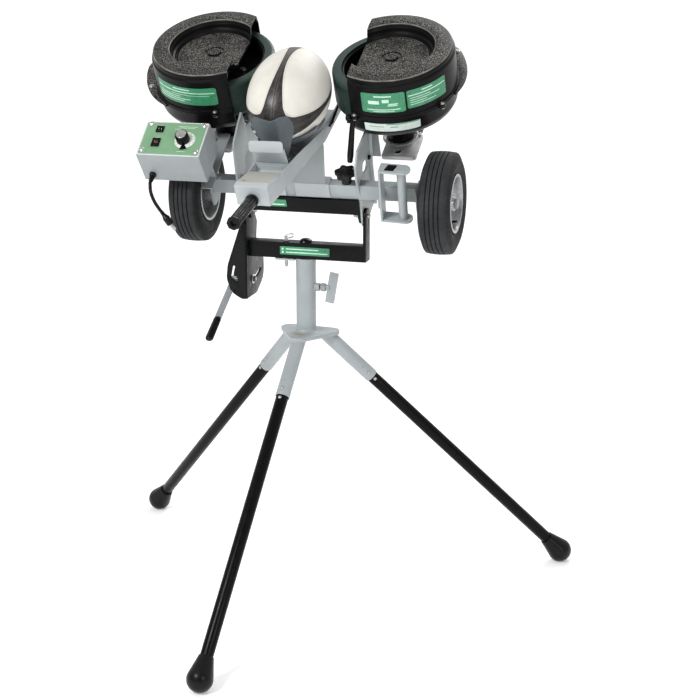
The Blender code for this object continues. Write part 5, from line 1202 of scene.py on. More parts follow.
def make_trough():
    outline = fillet([
        (-0.024, 0.1717, 0.004), (0.019, 0.1717, 0.004), (0.03, 0.2043, 0.02), (0.0483, 0.2522, 0.02),
        (0.0541, 0.268, 0.012), (0.0547, 0.289, 0.012), (0.0464, 0.309, 0.009), (0.0236, 0.316, 0.02),
        (0.0019, 0.3066, 0.006), (-0.02, 0.3128, 0.02), (-0.038, 0.319, 0.006), (-0.042, 0.306, 0.006),
        (-0.041, 0.288, 0.012), (-0.029, 0.262, 0.02), (-0.024, 0.24, 0.02),
    ], 7, closed=True)
    wall = outline_plate(outline, 0.0036, bevel=0.001, steps=3, facing="Y", at=-0.0725)
    wall = bent_sheet(wall, TROUGH_FOLD, TROUGH_TURN, -0.0725)
    base = box((-0.0235, -0.07, 0.1718), (0.032, -0.04, 0.202), 0.002)
    rings = 28
    outer = half_oval(0.1018, 0.1493, rings)
    inner = half_oval(0.0973, 0.1448, rings)
    ball_at = shift(*BALL_AT)
    shell = combine(
        moved(lathe(outer, 64, axis="Y"), ball_at), [box((-0.0775, -0.066, 0.1728), (0.0775, 0.0822, 0.24))],
        "INTERSECT",
    )
    joined = combine(base, [shell], "UNION")
    return wall, combine(joined, [moved(lathe(inner, 64, axis="Y"), ball_at)], angle=30.0)


trough = Piece("trough_dressed", HEAD)
for mesh in make_trough():
    trough.add(mesh, SLATE)
put_bolt(trough, shift(-0.0385, -0.0727, 0.279) @ turn(90, "X"), 0.003)
trough.done("ball_trough", "trough_plastic")


def make_ball():
    rings = 72
    profile = half_oval(BALL_RADIUS, BALL_HALF, rings)
    ball = Piece("ball_dressed", HEAD @ shift(*BALL_AT))
    ball.add(lathe(profile, 128, axis="Y"), ball_skin())
    ball.done("rugby_ball", "ball_skin")


make_ball()

RIGHT_PLATE = 0.1635
REAR_EDGE = [(0.115, 0.156), (0.094, 0.085), (0.092, 0.058), (0.088, 0.0), (0.0835, -0.024)]


def add_right_plate(piece):
    """The plate with its hole, the flange along its rear edge, and the mount it carries."""
    corners = [(0.262, 0.1737, 0.0), (0.262, 0.15, 0.01), (0.14, 0.098, 0.03), *[(*p, 0.01) for p in REAR_EDGE[1:]]]
    corners += [(-0.006, -0.03, 0.012), (-0.021, -0.012, 0.012), (-0.012, 0.06, 0.02), (-0.0214, 0.118, 0.012)]
    corners += [(-0.017, 0.146, 0.015), (0.013, 0.1737, 0.0)]
    tube_hole = [(-0.0128, 0.056), (0.0128, 0.056), (0.0128, 0.0951), (-0.0128, 0.0951)]
    window = fillet([
        (0.024, 0.101, 0.01), (0.06, 0.09, 0.012), (0.079, 0.098, 0.01), (0.072, 0.114, 0.012), (0.04, 0.124, 0.012),
    ], 6, closed=True)
    holes = [circle(0.0, 0.0, 0.0055), tube_hole, window]
    piece.add(cut_plate(corners, 8, 0.005, holes, bevel=0.0006, steps=2, facing="X", at=RIGHT_PLATE), GREY, HEAD)
    flange = [*REAR_EDGE, *[(y - 0.003, z) for y, z in reversed(REAR_EDGE)]]
    # The rear flange in the light grey: a painted highlight along the plate's edge
    piece.add(
        outline_plate(flange, 0.0082, bevel=0.0006, steps=2, facing="X", at=RIGHT_PLATE + 0.0045), GREY_HIGHLIGHT, HEAD,
    )
    piece.add(
        box((RIGHT_PLATE + 0.004, 0.118, 0.088), (RIGHT_PLATE + 0.0265, 0.121, 0.1712), 0.0008), GREY_SHADE, HEAD,
    )
    shelf = [
        (RIGHT_PLATE + 0.001, 0.158, 0.0), (0.2593, 0.158, 0.02), (0.2593, 0.26, 0.02),
        (RIGHT_PLATE + 0.001, 0.26, 0.0),
    ]
    neck = circle(LAUNCHER_X, LAUNCHER_Y, 0.034, 48)
    piece.add(cut_plate(shelf, 8, 0.004, [neck], bevel=0.0006, steps=2, at=0.1707), GREY, HEAD)
    piece.add(
        rod(0.0058, RIGHT_PLATE + 0.0045, RIGHT_PLATE + 0.011, "X"), GLOSS_BLACK, HEAD @ shift(0.0, 0.0855, 0.108),
    )


for name in SIDES:
    piece = Piece(f"side_plate_dressed_{name}")
    if name == "left":
        piece.add(cad_copy("side_plate_left", 0.0009, 2), GREY)
        blank = fillet([
            (0.03, 0.056, 0.006), (0.08, 0.046, 0.02), (0.118, 0.056, 0.02), (0.132, 0.094, 0.006),
            (0.11, 0.12, 0.01), (0.05, 0.12, 0.01),
        ], 6, closed=True)
        piece.add(outline_plate(blank, 0.0054, facing="X", at=-0.1307), GREY, HEAD)
    else:
        add_right_plate(piece)
    piece.done(f"side_plate_{name}", "grey_paint")
    dress(f"axle_end_{name}", f"axle_end_dressed_{name}", GREY_SHADE, "grey_paint", 0.0008, 2)

CARRY_Y0, CARRY_Y1 = -0.063, -0.027
handle_lean = shift(0.2635, 0.0, 0.1025) @ turn(3.0, "Y") @ shift(-0.2635, 0.0, -0.1025)
handle = Piece("carry_handle_dressed", HEAD @ handle_lean)
handle.add(box((0.2295, CARRY_Y0, 0.033), (0.2345, CARRY_Y1, 0.172), 0.0012), GREY)
arm = fillet([
    (0.2295, CARRY_Y0, 0.003), (0.3015, CARRY_Y0, 0.016), (0.3015, CARRY_Y1, 0.016), (0.2295, CARRY_Y1, 0.003),
], 8, closed=True)
for z in (0.031, 0.169):
    handle.add(outline_plate(arm, 0.005, bevel=0.0012, steps=3, at=z), GREY)
CARRY_MIDDLE = (CARRY_Y0 + CARRY_Y1) / 2
handle.add(rod(0.0105, 0.035, 0.17, "Z", 48, 0.0004), GREY, shift(0.28, CARRY_MIDDLE, 0.0))
weld = turned([(0.0075, 0.1738), (0.008, 0.175, 0.0005), (0.0102, 0.175, 0.0005), (0.0112, 0.1738)], 3, 48)
handle.add(weld, GREY, shift(0.2805, CARRY_MIDDLE, 0.0))
handle.add(box((0.2225, CARRY_Y1 - 0.024, 0.06), (0.23, -0.0128, 0.092), 0.0008), GREY)
# A thin near-black sheet on the arm's top: painted shade standing in for the slot
slot = fillet([
    (0.242, CARRY_Y0 + 0.007, 0.002), (0.264, CARRY_Y0 + 0.007, 0.002), (0.27, CARRY_Y1 - 0.006, 0.002),
    (0.248, CARRY_Y1 - 0.006, 0.002),
], 4, closed=True)
handle.add(outline_plate(slot, 0.0006, bevel=0.0001, at=0.1738), SHADE_AND_PRINT_BLACK)
handle.done("carry_handle", "grey_paint")

# Grip, knobs and levers

GRIP_RADIUS = 0.0137
GRIP_LENGTH = 0.15
grip_frame = HEAD @ shift(0.0, -0.2553, 0.2235) @ turn(3.0, "Z") @ turn(72.5, "X")
grip = Piece("grip_dressed", grip_frame)
flutes = []
for k in range(144):
    angle = 2 * pi * k / 144
    wave = 0.5 + 0.5 * cos(12 * angle)
    radius = GRIP_RADIUS - 0.0013 * wave**3
    flutes.append((radius * cos(angle), radius * sin(angle)))
grip.add(outline_plate(flutes, GRIP_LENGTH - 0.01, bevel=0.0006, at=0.004), RUBBER)
grip.add(turned([(0.0, GAP), (0.0152, GAP, 0.001), (0.0152, 0.01, 0.0015), (0.0, 0.01)], 3, 48), RUBBER)
flange = cut_plate(
    [(*p, 0.003) for p in circle(0.0, 0.0, 0.0158, 8)], 4, 0.008, [circle(0.0, 0.0, 0.0065, 32)], bevel=0.0012,
    steps=2, at=GRIP_LENGTH - 0.008,
)
grip.add(flange, RUBBER)
grip.add(turned([
    (0.0065, GRIP_LENGTH - 0.0006), (0.0092, GRIP_LENGTH - 0.0006, 0.0004), (0.0092, GRIP_LENGTH, 0.0004),
    (0.0065, GRIP_LENGTH),
], 2, 40, closed=True), RUBBER)
# A near-black lining inside the end's hole: painted shade
grip.add(lathe([(0.0, GRIP_LENGTH - 0.03), (0.0064, GRIP_LENGTH - 0.03), (0.0064, GRIP_LENGTH - 0.001)], 32), SHADE_AND_PRINT_BLACK)
for k in range(9):
    z = 0.016 + 0.0145 * k
    grip.add(
        lathe([(0.0128, z - 0.0012), (0.0135, z - 0.0006), (0.0135, z + 0.0006), (0.0128, z + 0.0012)], 64), RUBBER,
    )
grip.done("aim_grip", "black_rubber")

STAR_X = 0.1362
star = Piece("star_dressed", HEAD @ shift(STAR_X, 0.0, TUBE_TOP))
lobes = []
for k in range(120):
    angle = 2 * pi * k / 120
    radius = 0.0235 + 0.003 * cos(6 * angle)
    lobes.append((radius * cos(angle), radius * sin(angle)))
star.add(outline_plate(lobes, 0.0152, bevel=0.0045, steps=5, at=0.0198), KNOB_BLACK)
star.add(turned(
    [(0.0, 0.0), (0.0115, 0.0003, 0.001), (0.0122, 0.01, 0.003), (0.0155, 0.0215), (0.0, 0.0215)], 4, 48,
), KNOB_BLACK)
star.add(turned([(0.0, 0.0352), (0.0085, 0.0352, 0.0006), (0.0095, 0.0342)], 3, 40), KNOB_BLACK)
star.add(rod(0.005, -0.012, 0.004), STEEL)
star.done("star_knob", "black_plastic")

GUARD_CUT = 0.0735
LEVER_LEFT = LAUNCHER_X - GUARD_CUT - 0.0123
LEVER_RIGHT = LAUNCHER_X - GUARD_CUT - GAP
lever_middle = (LEVER_LEFT + LEVER_RIGHT) / 2
release = Piece("release_dressed", HEAD @ shift(0.0, 0.073, 0.2265) @ turn(-HEAD_PITCH, "X"))
release.add(rod(0.0075, LEVER_LEFT, LEVER_RIGHT, "X", 40, 0.001), BLACK)
release.add(box((lever_middle - 0.002, -0.01, -0.012), (lever_middle + 0.011, 0.004, -0.002), 0.002), BLACK)
release_profile = fillet([
    (0.0, 0.001), (0.0052, 0.001, 0.002), (0.0066, -0.03, 0.03), (0.0077, -0.084, 0.03), (0.0062, -0.1005, 0.004),
    (0.0, -0.102),
], 6)
release.add(lathe(release_profile, 40), GLOSS_BLACK, shift(lever_middle + 0.0117, -0.007, -0.003) @ turn(3.8, "Y"))
release.done("release_lever", "black_plastic")

tilt = JOINTS["tilt_lock_turn"]["pos_m"]
tilt_frame = shift(POST.x, tilt[1], tilt[2])
LEVER_X = -0.1874
LEVER_REACH = 0.2222
bar_end = LEVER_REACH - 0.078
lever = Piece("tilt_lever_dressed", tilt_frame)
down = turn(28.9 - 180.0, "X")
lever.add(rod(0.004, LEVER_X - 0.003, FLANGE_X + 0.008, "X"), STEEL)
lever.add(WASHER, CHROME, shift(FLANGE_X + GAP, 0, 0) @ turn(90, "Y") @ sized(0.0112))
lever.add(
    HEX, STEEL_DARK, shift(FLANGE_X + 0.0016, 0, 0) @ turn(90, "Y") @ Matrix.Diagonal((0.008, 0.008, 0.0095, 1.0)),
)
lever.add(rod(0.0075, LEVER_X, -0.1577, "X"), STEEL)
flat = [
    (-0.1935, -0.008, 0.006), (-0.1935, bar_end + 0.01, 0.0), (-0.177, bar_end + 0.01, 0.0), (-0.177, -0.008, 0.006),
]
lever.add(cut_plate(flat, 5, 0.005, bevel=0.0008, at=-0.0025), GREY_SHADE, down)
grip_profile = fillet([
    (0.0, bar_end), (0.005, bar_end, 0.001), (0.0068, bar_end + 0.006, 0.004), (0.0072, LEVER_REACH - 0.006, 0.004),
    (0.0055, LEVER_REACH - 0.0004, 0.002), (0.0, LEVER_REACH),
], 5)
lever.add(
    lathe(grip_profile, 40, axis="Y"), GLOSS_BLACK,
    down @ shift(-0.1852, 0.0, 0.0) @ Matrix.Diagonal((1.38, 1.0, 1.0, 1.0)),
)
lever.done("tilt_lock_lever", "steel")

# Launchers

GUARD_RADIUS = 0.15
GUARD_DEPTH = 0.095
EAR_OUTLINE = (
    (-12.0, 0.1575), (2.0, 0.163), (14.0, 0.1695), (27.0, 0.178), (40.0, 0.189), (51.0, 0.201), (58.0, 0.204),
    (65.0, 0.198), (71.0, 0.178), (74.0, 0.152),
)
EAR_TURNS = {"right": 0.0, "left": -40.0}
TAB_CORNERS = [
    (-0.006, -0.009, 0.001), (0.003, -0.009, 0.003), (0.0075, 0.0, 0.005), (0.003, 0.009, 0.003),
    (-0.006, 0.009, 0.001),
]
TAB_OUTLINE = fillet(TAB_CORNERS, 5, closed=True)
TAB_TURNS = {"right": (-113.6, -32.3), "left": (-76.4,)}
TAB_REACH = 0.1565


def tab_places(name):
    """Where the small tabs that clamp guard and bowl together sit."""
    return [turn(angle, "Z") @ shift(TAB_REACH, 0.0, 0.0) for angle in TAB_TURNS[name]]


def side_cutter(side, low=-0.4, high=0.1):
    x0, x1 = sorted((-side * GUARD_CUT, -side * (GUARD_CUT + 0.12)))
    return box((x0, -0.25, low), (x1, 0.25, high))


def make_guard(name, side):
    wall = 0.003
    r = GUARD_RADIUS
    dish = [
        (0.113, 0.0055), (0.105, 0.0052, 0.005), (0.102, -0.004, 0.006), (0.1005, -0.006, 0.003),
        (0.0995, -0.015, 0.003), (0.0945, -0.0185, 0.002), (0.0925, -0.0235, 0.001), (0.0885, -0.0242, 0.0012),
        (0.0866, -0.0222, 0.0015), (0.0835, -0.0226, 0.0015), (0.024, -0.0232, 0.0012), (0.0225, -0.0258, 0.001),
        (0.0165, -0.0258, 0.0012), (0.0148, -0.0205, 0.0018), (0.01, -0.0208, 0.0012), (0.009, -0.0222, 0.0012),
        (0.0, -0.0222),
    ]
    shoulder = [
        (r + 0.003, -GUARD_DEPTH, 0.001), (r + 0.003, -GUARD_DEPTH + 0.005, 0.001), (r, -GUARD_DEPTH + 0.005, 0.001),
        (r, -0.0138, 0.003), (r - 0.0008, -0.0105, 0.0015), (0.1466, -0.009, 0.0015), (0.1462, -0.001, 0.004),
        (0.1442, 0.0045, 0.0045), (0.118, 0.0058, 0.01),
    ]
    inside = [
        (0.0, -0.0222 - wall - 0.0036), (0.093, -0.0222 - wall - 0.0036, 0.002), (0.0975, -0.02, 0.003),
        (0.1025, -0.0165, 0.002), (0.1045, -0.005, 0.003), (0.108, 0.0022, 0.003), (0.1415, 0.0018, 0.004),
        (0.1432, -0.0105, 0.003), (r - wall, -0.0145, 0.003), (r - wall, -GUARD_DEPTH), (r + 0.003, -GUARD_DEPTH),
    ]
    profile = fillet(shoulder + dish, 7) + fillet(inside, 4)[:-1]
    shell = combine(lathe(profile, 144, closed=True), [side_cutter(side)])
    guard = Piece(f"guard_dressed_{name}", LAUNCH[name])
    guard.add(shell, HAMMER)
    for place in tab_places(name):
        ear = outline_plate(TAB_OUTLINE, 0.0045, bevel=0.0008, at=-GUARD_DEPTH)
        guard.add(ear, HAMMER, place)
        put_bolt(guard, place @ shift(0.0, 0.0, -GUARD_DEPTH + 0.0046), 0.0046)
    guard.done(f"guard_{name}", "black_paint")


GEAR_TOP = -0.2437


def make_bowl(name, side):
    top = -GUARD_DEPTH - GAP
    bottom = -0.155
    r = GUARD_RADIUS
    profile = fillet([
        (r + 0.003, top, 0.0008), (r + 0.003, top - 0.005, 0.001), (r - 0.0005, top - 0.005, 0.001),
        (r - 0.0038, bottom + 0.022, 0.02), (r - 0.013, bottom + 0.006, 0.02), (r - 0.025, bottom, 0.02),
        (0.0335, bottom, 0.004), (0.0335, GEAR_TOP + GAP, 0.001), (0.029, GEAR_TOP + GAP), (0.029, bottom + 0.003),
        (r - 0.027, bottom + 0.003, 0.01), (r - 0.0066, bottom + 0.0235, 0.02), (r - 0.0035, top - 0.004),
        (r - 0.0035, top),
    ], 6, closed=True)
    shell = combine(lathe(profile, 128, closed=True), [side_cutter(side)])
    bowl = Piece(f"bowl_dressed_{name}", LAUNCH[name])
    bowl.add(shell, BOWL_BLACK)
    points = []
    for angle, reach in EAR_OUTLINE:
        a = radians(angle + EAR_TURNS[name])
        points.append(Vector((side * reach * cos(a), reach * sin(a))))
    outline = [tuple(p) for p in through(points, 6)]
    inner = GUARD_RADIUS - 0.002
    for k in range(31):
        angle = EAR_OUTLINE[-1][0] + (EAR_OUTLINE[0][0] - EAR_OUTLINE[-1][0]) * k / 30
        a = radians(angle + EAR_TURNS[name])
        outline.append((side * inner * cos(a), inner * sin(a)))
    bowl.add(outline_plate(outline, 0.005, bevel=0.0008, at=top - 0.005), BOWL_BLACK)
    bolt_at = {"right": (0.1213, 0.1475), "left": (-0.1601, -0.0456)}[name]
    put_bolt(bowl, shift(*bolt_at, top), 0.005)
    put_bolt(bowl, shift(*bolt_at, top - 0.0052) @ turn(180, "X"), 0.0048)
    for place in tab_places(name):
        ear = outline_plate(TAB_OUTLINE, 0.0045, bevel=0.0008, at=top - 0.0048)
        bowl.add(ear, BOWL_BLACK, place)
        put_bolt(bowl, place @ shift(0.0, 0.0, top - 0.0052) @ turn(180, "X"), 0.0044)
    for k in range(3):
        z = -0.17 - 0.018 * k
        bowl.add(turned([
            (0.0333, z + 0.002), (0.0352, z + 0.002, 0.0006), (0.0352, z - 0.002, 0.0006), (0.0333, z - 0.002),
        ], 2, 64), BOWL_BLACK)
    bowl.done(f"guard_bowl_{name}", "black_paint")


def make_throwing_wheel(name, side):
    top, bottom = -0.037, -0.123
    r = 0.1425
    inner = 0.1195
    tyre = Piece(f"throwing_tyre_dressed_{name}", LAUNCH[name])
    profile = [
        (inner, top), (inner + 0.004, top, 0.001), (r, top - 0.0005, 0.008), (r + 0.0003, (top + bottom) / 2, 0.4),
    ]
    profile += [(r, bottom + 0.0005, 0.008), (inner + 0.004, bottom, 0.001), (inner, bottom)]
    tyre.add(turned(profile, 6, 128, closed=True), THROWING)
    tyre.done(f"throwing_tyre_{name}", "throwing_rubber")
    rim = inner - GAP
    hub = Piece(f"throwing_hub_dressed_{name}", LAUNCH[name])
    hub_profile = fillet([
        (0.0, top - 0.004), (0.012, top - 0.004, 0.001), (0.012, top - 0.018, 0.002), (0.03, top - 0.039, 0.004),
        (rim - 0.005, top - 0.039, 0.003), (rim - 0.005, top - 0.006, 0.001), (rim, top - 0.006, 0.001),
        (rim, bottom + 0.006, 0.001), (rim - 0.005, bottom + 0.006, 0.001), (rim - 0.005, top - 0.047, 0.003),
        (0.03, top - 0.047, 0.003), (0.028, bottom + 0.002, 0.002), (0.009, bottom + 0.002, 0.001),
        (0.009, -0.2497, 0.001), (0.0, -0.2497),
    ], 3)
    hub.add(lathe(hub_profile, 96), HUB)
    for k in range(5):
        angle = radians(72 * k + 10)
        put_bolt(hub, shift(0.06 * cos(angle), 0.06 * sin(angle), top - 0.039), 0.0065)
    hub.done(f"throwing_hub_{name}", "hub_metal")


def make_gearbox(name, side):
    """A cast flange under the neck, with a near-black disc set down in its hole as painted shade, and a body that
    carries the motor.
    """
    frame_here = LAUNCH[name]
    piece = Piece(f"gearbox_dressed_{name}", frame_here)
    middle_z = -0.2585
    flange = [(-0.03, -0.087, 0.008), (0.055, -0.087, 0.01), (0.053, 0.016, 0.012), (-0.031, 0.016, 0.012)]
    flange = fillet([(side * x, y, r) for x, y, r in flange], 6, closed=True)
    hole_x, hole_y = side * 0.0065, -0.065
    plate = outline_plate(
        flange, 0.01, [circle(hole_x, hole_y, 0.009, 32)], bevel=0.0018, steps=3, at=GEAR_TOP - 0.01,
    )
    piece.add(plate, CAST)
    piece.add(turned([
        (0.0295, 0.0), (0.044, 0.0), (0.0425, 0.0018, 0.001), (0.0395, 0.0022, 0.002), (0.0345, 0.0008, 0.002),
        (0.0295, 0.0008),
    ], 4, 96), CAST, shift(0.0, 0.0, GEAR_TOP - 0.0004))
    piece.add(turned(
        [(0.0088, -0.004), (0.0088, 0.0012, 0.0006), (0.012, 0.0012, 0.0006), (0.0126, -0.0004)], 3, 48,
    ), CAST, shift(hole_x, hole_y, GEAR_TOP))
    # A near-black disc set down in the hole: painted shade
    piece.add(rod(0.0087, -0.009, -0.0045, "Z", 32), SHADE_AND_PRINT_BLACK, shift(hole_x, hole_y, GEAR_TOP))
    x0, x1 = sorted((-side * 0.028, side * 0.044))
    piece.add(box((x0, -0.034, GEAR_TOP - 0.038), (x1, 0.0365, GEAR_TOP - 0.009), 0.005, 4), CAST)
    for x, y in ((-0.022, 0.006), (0.045, 0.006)):
        put_bolt(piece, shift(side * x, y, GEAR_TOP), 0.0036)
    piece.done(f"gearbox_{name}", "gearbox_metal")
    motor = Piece(f"motor_dressed_{name}", frame_here @ shift(0.0, 0.0, middle_z))
    start, end = 0.0365, 0.1565
    profile = fillet([
        (0.0, start), (0.0395, start, 0.002), (0.0395, end - 0.026), (0.038, end - 0.024),
        (0.038, end - 0.008, 0.004), (0.032, end - 0.0005, 0.003), (0.0, end),
    ], 4)
    motor.add(lathe(profile, 80, axis="Y"), MOTOR)
    for k in range(16):
        a = 2 * pi * k / 16
        motor.add(box(
            (-0.0012, start + 0.012, 0.039), (0.0012, end - 0.032, 0.0406), 0.0004, 1,
        ), MOTOR, turn(degrees(a), "Y"))
    for k in range(4):
        a = pi / 4 + pi / 2 * k
        put_bolt(motor, shift(0.027 * cos(a), end - 0.0004, 0.027 * sin(a)) @ turn(-90, "X"), 0.0034)
    motor.done(f"motor_{name}", "motor_paint")


for name, side in SIDES.items():
    make_guard(name, side)
    make_bowl(name, side)
    make_throwing_wheel(name, side)
    make_gearbox(name, side)

# Transport wheels


def make_transport_wheel(name, side):
    r, half = 0.12, 0.037
    frame_here = WHEEL[name]
    tyre = Piece(f"tyre_dressed_{name}", frame_here)
    ribs = 5
    span = 0.0262
    groove = 0.0016
    top = []
    for k in range(ribs):
        z0 = span - 2 * span * k / ribs
        z1 = span - 2 * span * (k + 1) / ribs
        crown = lambda z: r - 0.002 * (z / span) ** 2
        top += [(crown(z0 - groove), z0 - groove, 0.0007), (crown(z1 + groove), z1 + groove, 0.0007)]
        if k < ribs - 1:
            top += [(crown(z1) - 0.0038, z1 + 0.0006, 0.0003), (crown(z1) - 0.0038, z1 - 0.0006, 0.0003)]
    bead = 0.0675
    shoulder = [
        (bead + 0.02, half - 0.0005, 0.006), (0.1, half - 0.0005, 0.012), (0.1135, half - 0.0065, 0.008),
        (0.1176, span + 0.0022, 0.003),
    ]
    other = [(a, -z, c) for a, z, c in reversed(shoulder)]
    profile = [
        (bead, 0.02), (bead, 0.0285), (bead + 0.006, 0.0325, 0.003), *shoulder, *top, *other,
        (bead + 0.006, -0.0325, 0.003), (bead, -0.0285), (bead, -0.02),
    ]
    tyre.add(turned(profile, 4, 144, closed=True), TYRE)
    for z in (half - 0.0007, -half + 0.0007):
        for ring_radius in (0.0905, 0.0985):
            tyre.add(lathe([
                (ring_radius - 0.0012, z - 0.0004 * (1 if z > 0 else -1)),
                (ring_radius, z + 0.0007 * (1 if z > 0 else -1)),
                (ring_radius + 0.0012, z - 0.0004 * (1 if z > 0 else -1)),
            ], 144), TYRE)
    tyre.done(f"transport_tyre_{name}", "tyre_rubber")

    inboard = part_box(f"transport_rim_{name}")
    centre_x = frame_here.translation.x
    inboard_z = -abs(centre_x - (inboard[0].x if side > 0 else inboard[1].x))
    rim = Piece(f"rim_dressed_{name}", frame_here)
    R = 0.067
    disc = 0.012
    body = fillet([
        (R - 0.004, 0.0344, 0.0008), (R + 0.003, 0.0344, 0.001), (R, 0.03, 0.002), (R, -0.03, 0.002),
        (R + 0.003, -0.0344, 0.001), (R - 0.004, -0.0344, 0.0008), (R - 0.0065, -0.02, 0.003),
        (R - 0.0085, disc - 0.0075, 0.004), (0.036, disc - 0.0105, 0.004), (0.0225, disc - 0.0045, 0.003),
        (0.022, -0.014, 0.001), (0.022, inboard_z, 0.001), (0.0083, inboard_z), (0.0083, 0.03), (0.017, 0.03, 0.002),
        (0.021, 0.018, 0.003), (0.026, disc - 0.001, 0.004), (0.036, disc - 0.006, 0.004),
        (0.05, disc - 0.002, 0.006), (R - 0.0085, disc - 0.0035, 0.004), (R - 0.006, 0.022, 0.003),
    ], 4, closed=True)
    shell = lathe(body, 112, closed=True)
    cutters = []
    for k in range(5):
        a = 72 * k + 36
        oval = fillet([
            (0.04, -0.0075, 0.006), (0.0535, -0.0095, 0.006), (0.0535, 0.0095, 0.006), (0.04, 0.0075, 0.006),
        ], 5, closed=True)
        cutters.append(moved(outline_plate(oval, 0.06, bevel=0.0001, at=-0.02), turn(a, "Z")))
    rim.add(combine(shell, cutters), RIM)
    for k in range(5):
        a = radians(72 * k)
        for z, flip in ((disc - 0.0052, 0), (disc - 0.0095, 180)):
            place = shift(0.0325 * cos(a), 0.0325 * sin(a), z) @ turn(flip, "X")
            rim.add(
                turned([(0.0, 0.0), (0.0075, 0.0, 0.001), (0.0068, 0.003, 0.001), (0.0, 0.003)], 3, 32), RIM, place,
            )
            rim.add(HEX, STEEL, place @ shift(0, 0, 0.0026) @ Matrix.Diagonal((0.0058, 0.0058, 0.0085, 1.0)))
    rim.add(
        turned([(0.0, 0.0), (0.0028, 0.0), (0.003, 0.014, 0.001), (0.0022, 0.022, 0.0006), (0.0, 0.0225)], 3, 24),
        GLOSS_BLACK, shift(0.0555, 0.0, disc - 0.002) @ turn(-12, "Y"),
    )
    rim.done(f"transport_rim_{name}", "rim_metal")


for name, side in SIDES.items():
    make_transport_wheel(name, side)

# Control box

KNOB_AT = (0.027, -0.0038)
DIAL_AT = (0.0307, -0.003)
control = Piece("control_box_dressed", PANEL)
control.add(cad_copy("control_box", 0.0016, 3, 42.0, PANEL), GREY_SHADE)
control.done("control_box", "grey_paint")

panel = Piece("panel_dressed", PANEL)
ROCKERS = (("power_rocker", -0.0378, 0.027, 0.0185, 0.019), ("start_rocker", -0.0376, -0.0132, 0.0195, 0.0255))
ROCKER_PIVOT = {"power_rocker": -0.039, "start_rocker": -0.0385}
ROCKER_UNDER = -0.0045
ROCKER_TILT = 10
holes = [rounded_rectangle(width - 0.0015, height - 0.0015, 0.0008, x, y) for _, x, y, width, height in ROCKERS]
holes.append(circle(*KNOB_AT, 0.0036, 24))
# The panel's base plate in the light grey: a painted highlight on the lid's edge
panel.add(outline_plate(rounded_rectangle(0.152, 0.102, 0.0035), 0.001, holes, bevel=0.0003, at=-0.0016), GREY_HIGHLIGHT)
panel.add(outline_plate(rounded_rectangle(0.1455, 0.0955, 0.0035), 0.0008, holes, bevel=0.0002, at=-0.0007), SAGE)
for x, y in ((-0.0625, 0.0425), (0.0668, 0.0425), (-0.0655, -0.036), (0.0668, -0.0385)):
    panel.add(WASHER, CHROME, shift(x, y, 0.0001) @ sized(0.0074))
    put_screw(panel, shift(x, y, 0.0009) @ turn(3700 * x, "Z"), 0.0056, CHROME)
for _, x, y, width, height in ROCKERS:
    frame_outline = rounded_rectangle(width, height, 0.0015, x, y)
    window = rounded_rectangle(width - 0.0038, height - 0.0042, 0.0004, x, y)
    panel.add(outline_plate(frame_outline, 0.0022, [window], bevel=0.0005, at=0.0), GLOSS_BLACK)
    panel.add(box((x - 0.005, y + height / 2 + 0.0022, 0.0001), (x + 0.005, y + height / 2 + 0.003, 0.00025)), PALE)
dial = turned([(0.004, 0.0001), (0.0245, 0.0001), (0.0245, 0.0006, 0.0002), (0.004, 0.0006)], 2, 72, closed=True)
panel.add(dial, WHITE, shift(*DIAL_AT, 0.0))
for k in range(11):
    a = 225.0 - 27.0 * k
    tick = box((0.0205, -0.00035, 0.0006), (0.0235, 0.00035, 0.00075))
    panel.add(tick, SHADE_AND_PRINT_BLACK, shift(*DIAL_AT, 0.0) @ turn(a, "Z"))
for y, x0, x1 in ((0.037, 0.004, 0.052), (0.033, 0.01, 0.046), (0.029, -0.002, 0.012), (-0.0385, 0.02, 0.04)):
    panel.add(box((x0, y, 0.0001), (x1, y + 0.0012, 0.00022)), PALE)
panel.done("control_panel", "panel_paint")

knob = Piece("speed_knob_dressed", PANEL @ shift(*KNOB_AT, 0.0))
knob.add(turned(
    [(0.0, 0.0222), (0.014, 0.0222, 0.0012), (0.015, 0.006, 0.001), (0.0158, 0.001, 0.0004), (0.0, 0.001)], 4, 72,
), KNOB_BLACK)
for k in range(30):
    knob.add(box((0.0142, -0.0005, 0.004), (0.0153, 0.0005, 0.021), 0.0003, 1), KNOB_BLACK, turn(12 * k, "Z"))
knob.add(
    turned([(0.0, 0.0232), (0.0118, 0.0232, 0.0006), (0.0122, 0.0218)], 3, 64),
    metal("knob_cap", (0.55, 0.545, 0.52), 0.24),
)
pointer = cut_plate(
    [(-0.0085, -0.0285, 0.0015), (0.0085, -0.0285, 0.0015), (0.0, -0.009, 0.001)], 3, 0.0018, bevel=0.0004, at=0.001,
)
knob.add(pointer, KNOB_BLACK, turn(14, "Z"))
knob.add(rod(0.003, -0.0098, 0.0012), STEEL)
knob.done("speed_knob", "black_plastic")

for node, x, y, width, height in ROCKERS:
    pivot = ROCKER_PIVOT[node]
    half_x, half_y = width / 2 - 0.0034 - abs(x - pivot), height / 2 - 0.0023
    rocker = Piece(f"{node}_dressed", PANEL @ shift(pivot, y, ROCKER_UNDER) @ turn(ROCKER_TILT, "Y"))
    rocker.add(box((-half_x, -half_y, 0.0005), (half_x, half_y, 0.0069), 0.001, 3), GLOSS_BLACK)
    for mark in (-0.62, 0.62):
        rocker.add(box((mark * half_x - 0.0003, -0.0018, 0.0068), (mark * half_x + 0.0003, 0.0018, 0.00695)), PALE)
    if node == "start_rocker":
        rocker.add(box((-half_x + 0.002, -0.004, 0.0066), (half_x - 0.002, 0.004, 0.0072), 0.0002), RED_WINDOW)
    rocker.done(node, "black_plastic")

